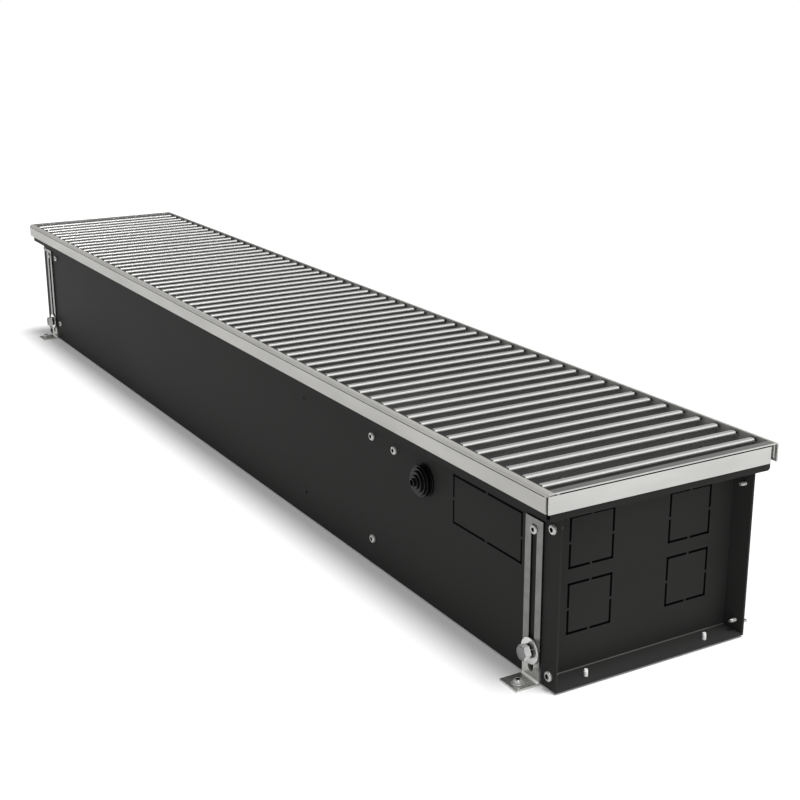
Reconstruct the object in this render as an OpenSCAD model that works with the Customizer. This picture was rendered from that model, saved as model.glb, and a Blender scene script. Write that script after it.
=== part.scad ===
// Fan-assisted trench convector heater with a roll-up grille, stood on four slotted levelling feet.
// +X is the connection end, -Y the room side with the cable grommet, +Z up. Z = 0 is the floor.

/* [Casing] */
// Length of the trough, end to end
casing_l = 1485.4; // [1300:0.1:2000]
// Width across the trough's side walls
casing_w = 218.4; // [216:0.1:300]
// Height from the trough's underside to the top of the frame
heater_h = 190.3; // [186:0.1:230]
// Thickness of the trough and end plate sheet
sheet_t = 1; // [0.8:0.05:1.2]
// Height of the rim, from the side wall's outward step to the top of the frame
rim_h = 26.9; // [25:0.1:32]
// How far each end plate stands back from the trough's end
end_recess = 24.7; // [22:0.1:25.5]

/* [Frame] */
// How far the frame stands out past the trough's ends
frame_end_over = 7.5; // [7:0.1:12]
// How far the frame stands out past the side walls
frame_side_over = 19.45; // [19:0.05:26]
// Height of the frame profile's outer leg
frame_h = 18.7; // [17:0.1:20]
// Wall of the frame profile
frame_t = 1.4; // [1.2:0.1:1.8]
// Width of the end profiles' top face
end_rim_w = 7.7; // [7:0.1:10]
// Radius of the long profiles' outer top edge
edge_r = 3.8; // [3:0.1:4.2]
// Height of the profile's inner leg
inner_leg_h = 14.3; // [8:0.1:16]
// Thickness of the profile's inner leg
inner_leg_t = 1.1; // [0.8:0.1:1.3]

/* [Grille] */
// Distance from bar to bar
bar_pitch = 24.22; // [18:0.01:24.6]
// Width of a bar's cap
cap_w = 7; // [5:0.1:9]
// Height of a bar's cap
cap_h = 2.6; // [1.5:0.1:4]
// Height of a bar
bar_h = 20; // [16:0.1:22]
// Thickness of a bar's web
web_t = 2; // [1.5:0.1:3]
// Diameter of the rods that string the bars together
rod_d = 4; // [3:0.1:5]
// Diameter of the spacer tubes on the rods
spacer_d = 9; // [7:0.1:11]

/* [Feet] */
// Width of a foot bracket
foot_w = 25.4; // [22:0.1:32]
// Thickness of a foot bracket
foot_t = 2; // [1.5:0.1:3]
// Reach of a foot's floor tab, from its upright's back
tab_d = 26.15; // [25:0.05:36]
// Height of a foot's upright above its floor tab
foot_h = 151.7; // [140:0.1:158]
// Width of the foot's slot, over an 8 mm bolt
slot_w = 8.3; // [8.1:0.05:8.8]
// Distance from a foot's middle to the trough's end
foot_in = 34.4; // [34:0.1:60]
// Height of the clamp bolt above the trough's underside
bolt_z = 27; // [24:0.1:40]
// Diameter of the clamp bolt
bolt_d = 8; // [7.6:0.1:8]
// Diameter of the large washer under the clamp bolt
washer_d = 25; // [20:0.1:26]

/* [Heat exchanger] */
// Outside diameter of the copper tubes
tube_d = 15; // [12:0.1:16]
// Wall of the copper tubes
tube_t = 0.8; // [0.6:0.1:1.2]
// Distance between the tubes along Y
tube_pitch_y = 36; // [34:0.1:40]
// Distance between the tubes along Z
tube_pitch_z = 32; // [30:0.1:36]
// Width of the fins
fin_w = 76; // [70:0.1:84]
// Height of the fins
fin_h = 72; // [66:0.1:80]
// Distance from fin to fin
fin_pitch = 12; // [8:0.1:20]
// Thickness of a fin
fin_t = 0.6; // [0.4:0.1:1]

/* [Fan] */
// Diameter of the impellers
impeller_d = 60; // [50:0.1:62]
// Number of blades on an impeller
blade_n = 24; // [16:1:32]
// Diameter of the fan shaft
shaft_d = 8; // [6:0.1:9]
// Diameter of the motor
motor_d = 58; // [50:0.1:60]
// Length of the motor
motor_l = 90; // [70:0.1:120]

/* [Connections] */
// Distance from the trough's near end to the near partition's screws
partition_near_in = 321.3; // [316:0.1:360]
// Distance from the trough's far end to the far partition's screws
partition_far_in = 67.7; // [66:0.1:90]
// Distance from the trough's near end to the cable grommet
grommet_in = 216.7; // [206:0.1:220]
// Distance from the frame's top down to the cable grommet
grommet_down = 62.8; // [58:0.1:70]
// Diameter of the grommet's outer flange
grommet_d = 33; // [30:0.1:36]
// Diameter of the cable that the grommet takes
cable_d = 6; // [5:0.1:8]
// Width of the side wall's knock-out
side_knockout_w = 112; // [80:0.1:112]
// Side of the end plate's square knock-outs
end_knockout_w = 49.2; // [40:0.1:49.4]

/* [Hidden] */
$fn = 48;
over = 1;            // overrun of every cut
fit = 0.05;          // clearance of a round piece in its hole
slide_gap = 0.05;    // clearance between a foot and what it slides on

// Levels and places of the casing
wall_h = heater_h - rim_h;
foot_gap = 10;       // least room between a foot's top and the step over it
casing_z = foot_t + max(0, foot_h + foot_gap - wall_h);    // longer feet lift the casing
floor_z = casing_z + sheet_t;
top_z = casing_z + heater_h;
step_z = top_z - rim_h;
shelf_z = step_z + sheet_t;
frame_z = top_z - frame_h;
casing_x = casing_l / 2;
casing_y = casing_w / 2;
inner_y = casing_y - sheet_t;
frame_x = casing_x + frame_end_over;
frame_y = casing_y + frame_side_over;
lip_inset = frame_t + 2.2 * sheet_t;
lip_x = frame_x - lip_inset;
lip_y = frame_y - lip_inset;
plate_x = casing_x - end_recess;

// Fasteners
screw_r = 2;
screw_hole_r = screw_r + 2 * fit;
screw_head_r = 4.7;
screw_head_h = 2.6;
screw_tip = 6.5;
end_screw_in = end_recess * 0.393;
end_screw_down = 13.9;
end_screw_top = wall_h - end_screw_down;
end_screw_low = 12.4;
bottom_screw_in = end_recess * 0.38;
bottom_screw_y = casing_w * 0.316;

// Knock-outs, cut round by a narrow slot that bridges hold
cut_w = 2;
bridge_w = 2.6;
end_knockout_y = casing_w * 0.2564;
end_knockout_shares = [0.767, 0.3825];    // of the side wall's height
end_knockout_z = [for (share = end_knockout_shares) share * wall_h];
side_knockout_h = end_knockout_w;
side_knockout_gap = 7.1;
side_knockout_x = foot_in + foot_w / 2 + side_knockout_gap + side_knockout_w / 2;
side_knockout_z = end_knockout_z[0];

// Frame profile
end_face_start = frame_t * 0.75;
end_face_stop = frame_side_over / 2;
leg_back = frame_t + 2 * fit;
leg_gap = 2;         // open joint between a long profile's leg and the end profile
leg_gap_down = 3.2;
groove_stop = leg_back + leg_gap + frame_t;
far_leg_back = frame_t * 0.7;
rim_w = lip_inset + sheet_t + fit + inner_leg_t;
shadow_line_h = 1.2;
groove_h = 0.5;
groove_d = 0.4;
rim_y = frame_y - rim_w;
rim_x = frame_x - end_rim_w;
band_y = rim_y - 2 * fit;
band_chamfer = 2;

// Grille
bar_gap = 1.9;
bar_end_gap = 8;
bar_sink = 1.2;
bar_edge_r = 1.8;
bar_half = rim_y - bar_gap;
bar_top = top_z - bar_sink;
bar_z = bar_top - bar_h;
rod_y = bar_half * 0.66;
rod_z = bar_z + bar_h * 0.4;
rod_cap_l = 4;
rod_cap_d = 10;
grille_off = 1.3;    // the loose grille lies this far towards the far end
bar_n = floor((2 * (rim_x - rod_cap_l - bar_end_gap) - web_t) / bar_pitch) + 1;
bar_row = (bar_n - 1) * bar_pitch;
bar_first = -bar_row / 2 - grille_off;
pad_w = 9;
pad_y = (inner_y + rim_y) / 2;

// Feet
foot_x = casing_x - foot_in;
leg_y = casing_y + slide_gap;
foot_bend_r = 1.5;
foot_top = foot_t + foot_h;
slot_up = 7;
slot_down = 5.2;
slot_low = foot_t + slot_up;
slot_top = foot_top - slot_down;
lock_screw_z = slot_top - slot_w * 0.62;
lock_screw_r = 2.5;
lock_hole_r = 2.1;
lock_head_r = slot_w * 0.57;
lock_head_h = 2.8;
tab_screw_y = leg_y + tab_d * 0.66;
tab_screw_x = foot_w * 0.11;
tab_screw_r = 2.5;
tab_hole_r = tab_screw_r + 4 * fit;
tab_washer_r = 6;
tab_washer_t = 1.2;
tab_head_r = 4.3;
tab_head_h = 3.4;
washer_t = 2;
spring_washer_r = 6.8;
spring_washer_t = 2.6;
hex_af = 13;
hex_h = 6.5;
nut_h = 6.5;
bolt_over = 2;
washer_y = leg_y + foot_t + slide_gap;
bolt_head_y = washer_y + washer_t + spring_washer_t;

// Partitions
plate_t = sheet_t;
flange_w = 16;
partition_near_x = casing_x - partition_near_in - flange_w / 2;
partition_far_x = -casing_x + partition_far_in + flange_w / 2;
partition_down = 13.3;
partition_top = step_z - partition_down;
partition_screw_top = partition_top - casing_z - flange_w / 2;
partition_screw_low = 28.6;
spare_hole_r = 1.9;
spare_hole_far = 156.7;
spare_hole_in = partition_near_in + spare_hole_far;

// Heat exchanger
tube_r = tube_d / 2;
tube_bore_r = tube_r - tube_t;
tube_y0 = end_knockout_y - tube_pitch_y / 2;
tube_z0 = casing_z + end_knockout_z[1] - tube_pitch_z / 2;
tube_gap = 0.3;
tube_hole_r = tube_r + tube_gap;
tube_over = 12;
tubes_near_x = partition_near_x + plate_t + tube_over;
tubes_far_x = partition_far_x - 3 * plate_t;
fin_gap = 22;
fins_l = partition_near_x - partition_far_x - 2 * fin_gap;
fin_n = floor(fins_l / fin_pitch);
fins_x0 = (partition_near_x + partition_far_x - fin_n * fin_pitch) / 2;
fin_y0 = end_knockout_y - fin_w / 2;
fin_z0 = tube_z0 + tube_pitch_z / 2 - fin_h / 2;
collar_t = 0.6;
connector_l = 26;
connector_af = 27;
thread_r = 9.3;
thread_l = 14;
vent_r = 6;
vent_h = 16;
vent_screw_r = 2.5;
vent_screw_l = 9;
vent_room = 2;
vent_slot_w = 1.2;
vent_slot_d = 1.6;
vent_head_r = 4;
vent_head_h = 5;
vent_x = tubes_near_x + tube_pitch_y / 2;    // on the crown of the near bend
vent_y = tube_y0 + tube_pitch_y / 2;
vent_z = tube_z0 + tube_pitch_z + tube_r + fit;
saddle_w = 14;
saddle_n = 3;

// Fan
impeller_r = impeller_d / 2;
fan_y = -casing_w * 0.275;
fan_up = 25;
fan_z = floor_z + impeller_r + fan_up;
shaft_r = shaft_d / 2;
bearing_r = 13;
bearing_l = 12;
shaft_near_x = partition_near_x - fit;
shaft_far_x = partition_far_x + fit;
motor_x = (partition_near_x + partition_far_x) / 2;
motor_r = motor_d / 2;
impeller_gap = 14;
impeller_l = (partition_near_x - partition_far_x - motor_l) / 2 - 2 * impeller_gap - bearing_l;
impeller_near_x = motor_x + motor_l / 2 + impeller_gap;
impeller_far_x = motor_x - motor_l / 2 - impeller_gap - impeller_l;
blade_t = 0.8;
blade_d = 9;
blade_lean = 35;
disc_t = 1.5;
disc_n = 6;
hub_t = 5;
hub_r = shaft_r + hub_t;
scroll_gap = 6;
scroll_r = impeller_r + scroll_gap;
scroll_t = sheet_t;
scroll_wall_h = impeller_r * 1.7;
scroll_leg_w = 20;

// Control box
box_d = 44;
box_h = 56;
box_t = 2;
box_gap = 3;
box_x = partition_near_x + plate_t + flange_w + box_gap;
grommet_x = casing_x - grommet_in;
grommet_z = heater_h - grommet_down;
box_w = grommet_x - grommet_d / 2 - box_gap - box_x;
box_z = casing_z + grommet_z - box_h * 0.58;
box_screw_x = box_x + box_w * 0.459;
box_screw_up = 12.8;
box_screw_z = grommet_z + box_screw_up;
box_screw_over = 4;
lid_t = 2.5;
boss_r = 4;
lid_screw_r = 1.5;
lid_screw_l = 10;
lid_head_r = 2.9;
lid_head_h = 1.8;
terminal_n = 5;
terminal_w = 9;
terminal_h = 14;
terminal_d = 16;
gland_r = 8;
gland_l = 12;
gland_bore = cable_d + 20 * fit;
gland_y = -inner_y + box_d * 0.55;
gland_z = casing_z + grommet_z;

// Grommet
grommet_hole_r = 12.5;
grommet_flange_t = 2;
grommet_back_t = 2.5;
grommet_edge_r = 0.7;
grommet_tip_t = 1.2;
grommet_l = 15.5;
ring_r_shares = [0.96, 0.85, 0.66, 0.44];    // of the flange's radius, from the drum outwards
ring_h_shares = [0.46, 0.6, 0.74, 0.86];     // of the grommet's length

// Motor lead, laid in straight runs and quarter bends
lead_r = 3;
lead_bend = 12;
lead_in = 5.7;
lead_up = 7;
lead_gap = 0.5;
lead_y = -inner_y + lead_in;
lead_z = floor_z + lead_up;
lead_start_y = lead_y + lead_bend;
lead_up_x = box_x + box_w * 0.45;
clip_w = 8;

// Helpers

// Turns what is drawn along +Z to point along -Y, with +X kept
module face_front() {
    rotate([90, 0, 0]) children();
}

// Turns what is drawn along +Z to point along +X
module face_near() {
    rotate([0, 90, 0]) children();
}

// Copies to the front and, turned about Z by half a turn, to the rear
module front_and_rear() {
    children();
    mirror([0, 1, 0]) children();
}

module near_and_far() {
    children();
    mirror([1, 0, 0]) children();
}

// A box between two corners
module block(low, high) {
    translate(low) cube(high - low);
}

// Button-head screw on its seat at z = 0: the head above, the shank below
module button_screw(shank_r, shank_l, head_r, head_h) {
    dome_r = (head_r * head_r + head_h * head_h) / (2 * head_h);
    difference() {
        union() {
            intersection() {
                translate([0, 0, head_h - dome_r]) sphere(r = dome_r);
                cylinder(r = head_r, h = head_h);
            }
            translate([0, 0, -shank_l]) cylinder(r = shank_r, h = shank_l + head_h / 2);
        }
        translate([0, 0, head_h / 2]) cylinder(r = head_r * 0.38, h = head_h, $fn = 6);
    }
}

// Slot round a knock-out of w by h, broken by a bridge in the middle of each side
module knockout_cut(w, h) {
    translate([0, 0, -over]) linear_extrude(sheet_t + 2 * over) difference() {
        square([w, h], center = true);
        square([w - 2 * cut_w, h - 2 * cut_w], center = true);
        square([bridge_w, h + 2 * over], center = true);
        square([w + 2 * over, bridge_w], center = true);
    }
}

// Straight hole through the front wall at a height above the trough's underside
module front_hole(x, z, r) {
    translate([x, -inner_y + over, casing_z + z]) face_front() cylinder(r = r, h = sheet_t + 2 * over);
}

// Casing

module trough_section() {
    translate([-casing_y, casing_z]) square([casing_w, sheet_t]);
    for (side = [0, 1]) mirror([side, 0]) {
        translate([inner_y, casing_z]) square([sheet_t, shelf_z - casing_z]);
        translate([inner_y, step_z]) square([lip_y - inner_y, sheet_t]);
        translate([lip_y - sheet_t, step_z]) square([sheet_t, top_z - frame_t - step_z]);
    }
}

module trough() {
    color([0.2, 0.2, 0.2]) difference() {
        translate([-casing_x, 0, 0]) rotate([90, 0, 90]) linear_extrude(casing_l) trough_section();
        front_and_rear() {
            near_and_far() {
                for (z = [end_screw_top, end_screw_low]) front_hole(casing_x - end_screw_in, z, screw_hole_r);
                front_hole(foot_x, bolt_z, bolt_d / 2 + 2 * fit);
                front_hole(foot_x, lock_screw_z - casing_z, lock_hole_r);
            }
            for (z = [partition_screw_top, partition_screw_low]) {
                front_hole(casing_x - partition_near_in, z, screw_hole_r);
                front_hole(-casing_x + partition_far_in, z, screw_hole_r);
                front_hole(casing_x - spare_hole_in, z, spare_hole_r);
            }
            translate([casing_x - side_knockout_x, -inner_y, casing_z + side_knockout_z])
                face_front() knockout_cut(side_knockout_w, side_knockout_h);
            near_and_far() translate([casing_x - bottom_screw_in, -bottom_screw_y, casing_z - over])
                cylinder(r = screw_hole_r, h = sheet_t + 2 * over);
        }
        front_hole(box_screw_x, box_screw_z, screw_hole_r);
        front_hole(grommet_x, grommet_z, grommet_hole_r);
    }
}

// Upstand of an end plate, with its lower corners cut off
module end_band() {
    polygon([
        [-band_y, top_z - frame_t],
        [-band_y, step_z + band_chamfer],
        [-band_y + band_chamfer, step_z],
        [band_y - band_chamfer, step_z],
        [band_y, step_z + band_chamfer],
        [band_y, top_z - frame_t]
    ]);
}

// End plate of the near end; the far one is the same plate turned half round
module end_plate() {
    color([0.18, 0.18, 0.18]) difference() {
        union() {
            block([plate_x - sheet_t, -inner_y, floor_z], [plate_x, inner_y, shelf_z]);
            for (side = [0, 1]) mirror([0, side, 0])
                block([plate_x - sheet_t, inner_y - sheet_t, floor_z], [casing_x, inner_y, step_z]);
            block([plate_x - sheet_t, -inner_y, floor_z], [casing_x, inner_y, floor_z + sheet_t]);
            block([plate_x - sheet_t, -inner_y, step_z], [lip_x, inner_y, shelf_z]);
            block([casing_x + fit, -band_y + band_chamfer, step_z], [lip_x, band_y - band_chamfer, shelf_z]);
            translate([lip_x - sheet_t, 0, 0]) rotate([90, 0, 90]) linear_extrude(sheet_t) end_band();
        }
        for (y = [-end_knockout_y, end_knockout_y], z = end_knockout_z)
            translate([plate_x - sheet_t, y, casing_z + z])
                rotate([90, 0, 90]) knockout_cut(end_knockout_w, end_knockout_w);
        for (side = [0, 1]) mirror([0, side, 0]) {
            for (z = [end_screw_top, end_screw_low])
                translate([casing_x - end_screw_in, -inner_y + sheet_t + over, casing_z + z])
                    face_front() cylinder(r = screw_hole_r, h = sheet_t + 2 * over);
            translate([casing_x - bottom_screw_in, -bottom_screw_y, floor_z - over])
                cylinder(r = screw_hole_r, h = sheet_t + 2 * over);
        }
    }
}

module end_plate_near() {
    end_plate();
}

module end_plate_far() {
    rotate([0, 0, 180]) end_plate();
}

// Screw through the front wall with its head outside
module wall_screw(x, z) {
    translate([x, -casing_y, casing_z + z]) face_front()
        button_screw(screw_r, 2 * sheet_t + screw_tip, screw_head_r, screw_head_h);
}

module side_screws() {
    color([0.8, 0.8, 0.8]) front_and_rear() near_and_far()
        for (z = [end_screw_top, end_screw_low]) wall_screw(casing_x - end_screw_in, z);
}

module bottom_screws() {
    color([0.8, 0.8, 0.8]) front_and_rear() near_and_far()
        translate([casing_x - bottom_screw_in, -bottom_screw_y, casing_z]) rotate([180, 0, 0])
            button_screw(screw_r, 2 * sheet_t + screw_tip, screw_head_r, foot_t * 0.9);
}

// Frame

// Long profile from its outer face inwards and from its foot upwards
module long_section() {
    square([frame_t, frame_h - edge_r]);
    translate([edge_r, frame_h - edge_r]) difference() {
        intersection() {
            circle(r = edge_r);
            translate([-edge_r, 0]) square(edge_r);
        }
        circle(r = edge_r - frame_t);
    }
    translate([edge_r, frame_h - frame_t]) square([rim_w - edge_r, frame_t]);
    translate([rim_w - inner_leg_t, frame_h - inner_leg_h]) square([inner_leg_t, inner_leg_h]);
}

// Each long profile butts against one end profile and passes the other
module long_profile() {
    color([0.66, 0.66, 0.65]) difference() {
        translate([-frame_x, -frame_y, frame_z]) rotate([90, 0, 90]) linear_extrude(2 * frame_x) long_section();
        block([frame_x - leg_back, -frame_y - over, frame_z - over],
            [frame_x + over, -rim_y + over, top_z - frame_t - shadow_line_h / 2]);
        block([frame_x - leg_back - leg_gap, -frame_y - over, frame_z - over],
            [frame_x - leg_back + over, -rim_y + over, top_z - leg_gap_down]);
        block([-frame_x - over, -frame_y - over, frame_z - over],
            [-frame_x + far_leg_back, -rim_y + over, top_z - frame_t]);
        block([-frame_x + leg_back, -frame_y - over, top_z - edge_r - groove_h],
            [frame_x - groove_stop, -frame_y + groove_d, top_z - edge_r]);
    }
}

module frame_front() {
    long_profile();
}

module frame_rear() {
    rotate([0, 0, 180]) long_profile();
}

module end_profile() {
    face_top = top_z - frame_t - shadow_line_h;
    color([0.8, 0.8, 0.78]) {
        block([frame_x - frame_t, -frame_y + end_face_start, frame_z],
            [frame_x, frame_y - end_face_stop, face_top]);
        block([frame_x - end_rim_w, -rim_y, top_z - frame_t], [frame_x, rim_y, top_z]);
        block([frame_x - 1.6 * frame_t, -rim_y + lip_inset, face_top - 2 * frame_t],
            [frame_x - 0.6 * frame_t, frame_y - end_face_stop, top_z - frame_t / 2]);
        block([frame_x - end_rim_w, -rim_y, top_z - inner_leg_h],
            [frame_x - end_rim_w + inner_leg_t, rim_y, top_z - frame_t / 2]);
    }
}

module frame_near() {
    end_profile();
}

module frame_far() {
    rotate([0, 0, 180]) end_profile();
}

// Grille

// T-shaped bar from its foot upwards, with well rounded top edges
module bar_section() {
    translate([-web_t / 2, 0]) square([web_t, bar_h - cap_h / 2]);
    translate([0, bar_h - cap_h]) intersection() {
        translate([-cap_w / 2, 0]) square([cap_w, cap_h]);
        union() {
            translate([-cap_w / 2, 0]) square([cap_w, cap_h - bar_edge_r]);
            translate([-cap_w / 2 + bar_edge_r, 0]) square([cap_w - 2 * bar_edge_r, cap_h]);
            for (side = [-1, 1]) translate([side * (cap_w / 2 - bar_edge_r), cap_h - bar_edge_r])
                circle(r = bar_edge_r);
        }
    }
}

module grille_bars() {
    color([0.75, 0.75, 0.75]) for (i = [0 : bar_n - 1]) translate([bar_first + i * bar_pitch, 0, 0]) difference() {
        translate([0, bar_half, bar_z]) rotate([90, 0, 0]) linear_extrude(2 * bar_half) bar_section();
        for (y = [-rod_y, rod_y]) translate([-web_t, y, rod_z]) face_near() cylinder(d = rod_d + 2 * fit, h = 2 * web_t);
    }
}

module grille_rods() {
    rod_l = bar_row + web_t + 2 * rod_cap_l;
    color([0.6, 0.6, 0.62]) for (y = [-rod_y, rod_y])
        translate([bar_first - web_t / 2 - rod_cap_l, y, rod_z]) face_near() cylinder(d = rod_d, h = rod_l);
}

module grille_spacers() {
    spacer_l = bar_pitch - web_t - 2 * fit;
    color([0.12, 0.12, 0.12]) for (y = [-rod_y, rod_y], i = [0 : bar_n - 2])
        translate([bar_first + i * bar_pitch + web_t / 2 + fit, y, rod_z]) face_near() difference() {
            cylinder(d = spacer_d, h = spacer_l);
            translate([0, 0, -over]) cylinder(d = rod_d + 2 * fit, h = spacer_l + 2 * over);
        }
}

module grille_rod_caps() {
    first_x = bar_first - web_t / 2 - rod_cap_l;
    last_x = bar_first + bar_row + web_t / 2;
    color([0.12, 0.12, 0.12]) for (y = [-rod_y, rod_y], x = [first_x, last_x])
        translate([x, y, rod_z]) face_near() difference() {
            cylinder(d = rod_cap_d, h = rod_cap_l);
            translate([0, 0, -over]) cylinder(d = rod_d + 2 * fit, h = rod_cap_l + 2 * over);
        }
}

// Rubber strips on the side walls' steps that the bars lie on
module grille_pads() {
    color([0.08, 0.08, 0.08]) for (side = [-1, 1])
        block([-rim_x + over, side * pad_y - pad_w / 2, shelf_z], [rim_x - over, side * pad_y + pad_w / 2, bar_z - slide_gap]);
}

// Feet

// Bent strip seen from its end: outwards from the wall and upwards from the floor
module foot_section() {
    outer_r = foot_bend_r + foot_t;
    difference() {
        union() {
            square([foot_t, foot_top]);
            square([tab_d, foot_t]);
            square(outer_r);
        }
        translate([outer_r, outer_r]) circle(r = foot_bend_r);
        difference() {
            translate([-over, -over]) square(outer_r + over);
            translate([outer_r, outer_r]) circle(r = outer_r);
        }
    }
}

// Foot at the front near corner
module foot() {
    color([0.6, 0.6, 0.58]) difference() {
        translate([foot_x + foot_w / 2, -leg_y, 0]) rotate([90, 0, -90]) linear_extrude(foot_w) foot_section();
        translate([foot_x, -leg_y + over, slot_low + slot_w / 2]) face_front()
            cylinder(d = slot_w, h = foot_t + 2 * over);
        translate([foot_x, -leg_y + over, slot_top - slot_w / 2]) face_front()
            cylinder(d = slot_w, h = foot_t + 2 * over);
        block([foot_x - slot_w / 2, -leg_y - foot_t - over, slot_low + slot_w / 2],
            [foot_x + slot_w / 2, -leg_y + over, slot_top - slot_w / 2]);
        translate([foot_x + tab_screw_x, -tab_screw_y, -over]) cylinder(r = tab_hole_r, h = foot_t + 2 * over);
    }
}

module lock_screw() {
    color([0.85, 0.85, 0.85]) translate([foot_x, -leg_y - foot_t, lock_screw_z]) face_front()
        button_screw(lock_screw_r, foot_t, lock_head_r, lock_head_h);
}

module floor_screw() {
    color([0.85, 0.85, 0.85]) translate([foot_x + tab_screw_x, -tab_screw_y, foot_t]) {
        difference() {
            cylinder(r = tab_washer_r, h = tab_washer_t);
            translate([0, 0, -over]) cylinder(r = tab_hole_r, h = tab_washer_t + 2 * over);
        }
        translate([0, 0, tab_washer_t])
            button_screw(tab_screw_r, tab_washer_t + foot_t, tab_head_r, tab_head_h);
    }
}

module foot_front_near() { foot(); }
module foot_front_far() { mirror([1, 0, 0]) foot(); }
module foot_rear_near() { mirror([0, 1, 0]) foot(); }
module foot_rear_far() { rotate([0, 0, 180]) foot(); }
module lock_screw_front_near() { lock_screw(); }
module lock_screw_front_far() { mirror([1, 0, 0]) lock_screw(); }
module lock_screw_rear_near() { mirror([0, 1, 0]) lock_screw(); }
module lock_screw_rear_far() { rotate([0, 0, 180]) lock_screw(); }
module floor_screw_front_near() { floor_screw(); }
module floor_screw_front_far() { mirror([1, 0, 0]) floor_screw(); }
module floor_screw_rear_near() { mirror([0, 1, 0]) floor_screw(); }
module floor_screw_rear_far() { rotate([0, 0, 180]) floor_screw(); }

// Places its child, drawn along +Z from the wall outwards, at each clamp bolt
module at_clamps(y) {
    front_and_rear() near_and_far() translate([foot_x, -y, casing_z + bolt_z]) face_front() children();
}

module clamp_bolts() {
    shank = bolt_head_y - inner_y + nut_h + bolt_over;
    color([0.8, 0.8, 0.8]) at_clamps(bolt_head_y) {
        intersection() {
            cylinder(d = hex_af / cos(30), h = hex_h, $fn = 6);
            translate([0, 0, hex_h - 1.45 * hex_af]) sphere(r = 1.5 * hex_af, $fn = 96);
        }
        translate([0, 0, -shank]) cylinder(d = bolt_d, h = shank + hex_h / 2);
    }
}

module clamp_washers() {
    color([0.85, 0.85, 0.85]) at_clamps(washer_y) difference() {
        cylinder(d = washer_d, h = washer_t);
        translate([0, 0, -over]) cylinder(d = bolt_d + 4 * fit, h = washer_t + 2 * over);
    }
}

module spring_washers() {
    color([0.3, 0.3, 0.3]) at_clamps(washer_y + washer_t) difference() {
        cylinder(r = spring_washer_r, h = spring_washer_t);
        translate([0, 0, -over]) cylinder(d = bolt_d + 4 * fit, h = spring_washer_t + 2 * over);
        translate([0, -spring_washer_t / 4, -over])
            cube([spring_washer_r + over, spring_washer_t / 2, spring_washer_t + 2 * over]);
    }
}

module clamp_nuts() {
    color([0.7, 0.7, 0.7]) at_clamps(inner_y) translate([0, 0, -nut_h]) difference() {
        cylinder(d = hex_af / cos(30), h = nut_h, $fn = 6);
        translate([0, 0, -over]) cylinder(d = bolt_d + 2 * fit, h = nut_h + 2 * over);
    }
}

// Ring about the Z axis with its outer upper edge rounded
module grommet_ring(r, h) {
    rotate_extrude() {
        square([r - grommet_edge_r, h]);
        square([r, h - grommet_edge_r]);
        translate([r - grommet_edge_r, h - grommet_edge_r]) circle(r = grommet_edge_r);
    }
}

// Cable grommet: a drum with stepped rings that narrow to a small open tip
module cable_grommet() {
    flange_r = grommet_d / 2;
    color([0.1, 0.1, 0.1]) translate([grommet_x, -casing_y, casing_z + grommet_z]) face_front() difference() {
        union() {
            grommet_ring(flange_r, grommet_flange_t);
            for (i = [0 : len(ring_r_shares) - 1])
                grommet_ring(ring_r_shares[i] * flange_r, ring_h_shares[i] * grommet_l);
            grommet_ring(cable_d / 2 + grommet_tip_t, grommet_l);
            translate([0, 0, -sheet_t]) cylinder(r = grommet_hole_r - fit, h = sheet_t + grommet_flange_t / 2);
            translate([0, 0, -sheet_t - grommet_back_t]) cylinder(r = flange_r * 0.9, h = grommet_back_t);
        }
        translate([0, 0, -sheet_t - grommet_back_t - over])
            cylinder(d = cable_d, h = sheet_t + grommet_back_t + grommet_l + 2 * over);
    }
}

// Partitions

// Cross wall with its plate at x = 0 and its flanges on the +X side
module partition(lead_hole) {
    color([0.55, 0.56, 0.57]) difference() {
        union() {
            block([0, -inner_y, floor_z], [plate_t, inner_y, partition_top]);
            for (side = [0, 1]) mirror([0, side, 0])
                block([0, inner_y - plate_t, floor_z], [flange_w, inner_y, partition_top]);
            block([0, -inner_y, floor_z], [flange_w, inner_y, floor_z + plate_t]);
        }
        for (side = [0, 1], z = [partition_screw_top, partition_screw_low]) mirror([0, side, 0])
            translate([flange_w / 2, -inner_y + plate_t + over, casing_z + z])
                face_front() cylinder(r = screw_hole_r, h = plate_t + 2 * over);
        at_tubes() translate([0, 0, -over]) cylinder(r = tube_hole_r, h = plate_t + 2 * over);
        if (lead_hole) {
            translate([-over, lead_y, lead_z]) face_near() cylinder(r = lead_r + lead_gap, h = plate_t + 2 * over);
        }
    }
}

// Places its child, drawn along +Z, along +X at each tube
module at_tubes() {
    for (i = [0, 1], k = [0, 1]) translate([0, tube_y0 + i * tube_pitch_y, tube_z0 + k * tube_pitch_z])
        face_near() children();
}

module partition_near() {
    translate([partition_near_x, 0, 0]) partition(true);
}

module partition_far() {
    translate([partition_far_x, 0, 0]) mirror([1, 0, 0]) partition(false);
}

module partition_screws() {
    color([0.8, 0.8, 0.8]) front_and_rear() for (z = [partition_screw_top, partition_screw_low]) {
        wall_screw(casing_x - partition_near_in, z);
        wall_screw(-casing_x + partition_far_in, z);
    }
}

// Heat exchanger

module fin_pack() {
    collar_r = tube_r + fit + collar_t;
    color([0.78, 0.79, 0.8]) difference() {
        union() {
            for (i = [0 : fin_n])
                block([fins_x0 + i * fin_pitch, fin_y0, fin_z0], [fins_x0 + i * fin_pitch + fin_t, fin_y0 + fin_w, fin_z0 + fin_h]);
            translate([fins_x0, 0, 0]) at_tubes() cylinder(r = collar_r, h = fin_n * fin_pitch);
        }
        translate([fins_x0 - over, 0, 0]) at_tubes() cylinder(r = tube_r + fit, h = fin_n * fin_pitch + fin_t + 2 * over);
    }
}

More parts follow.
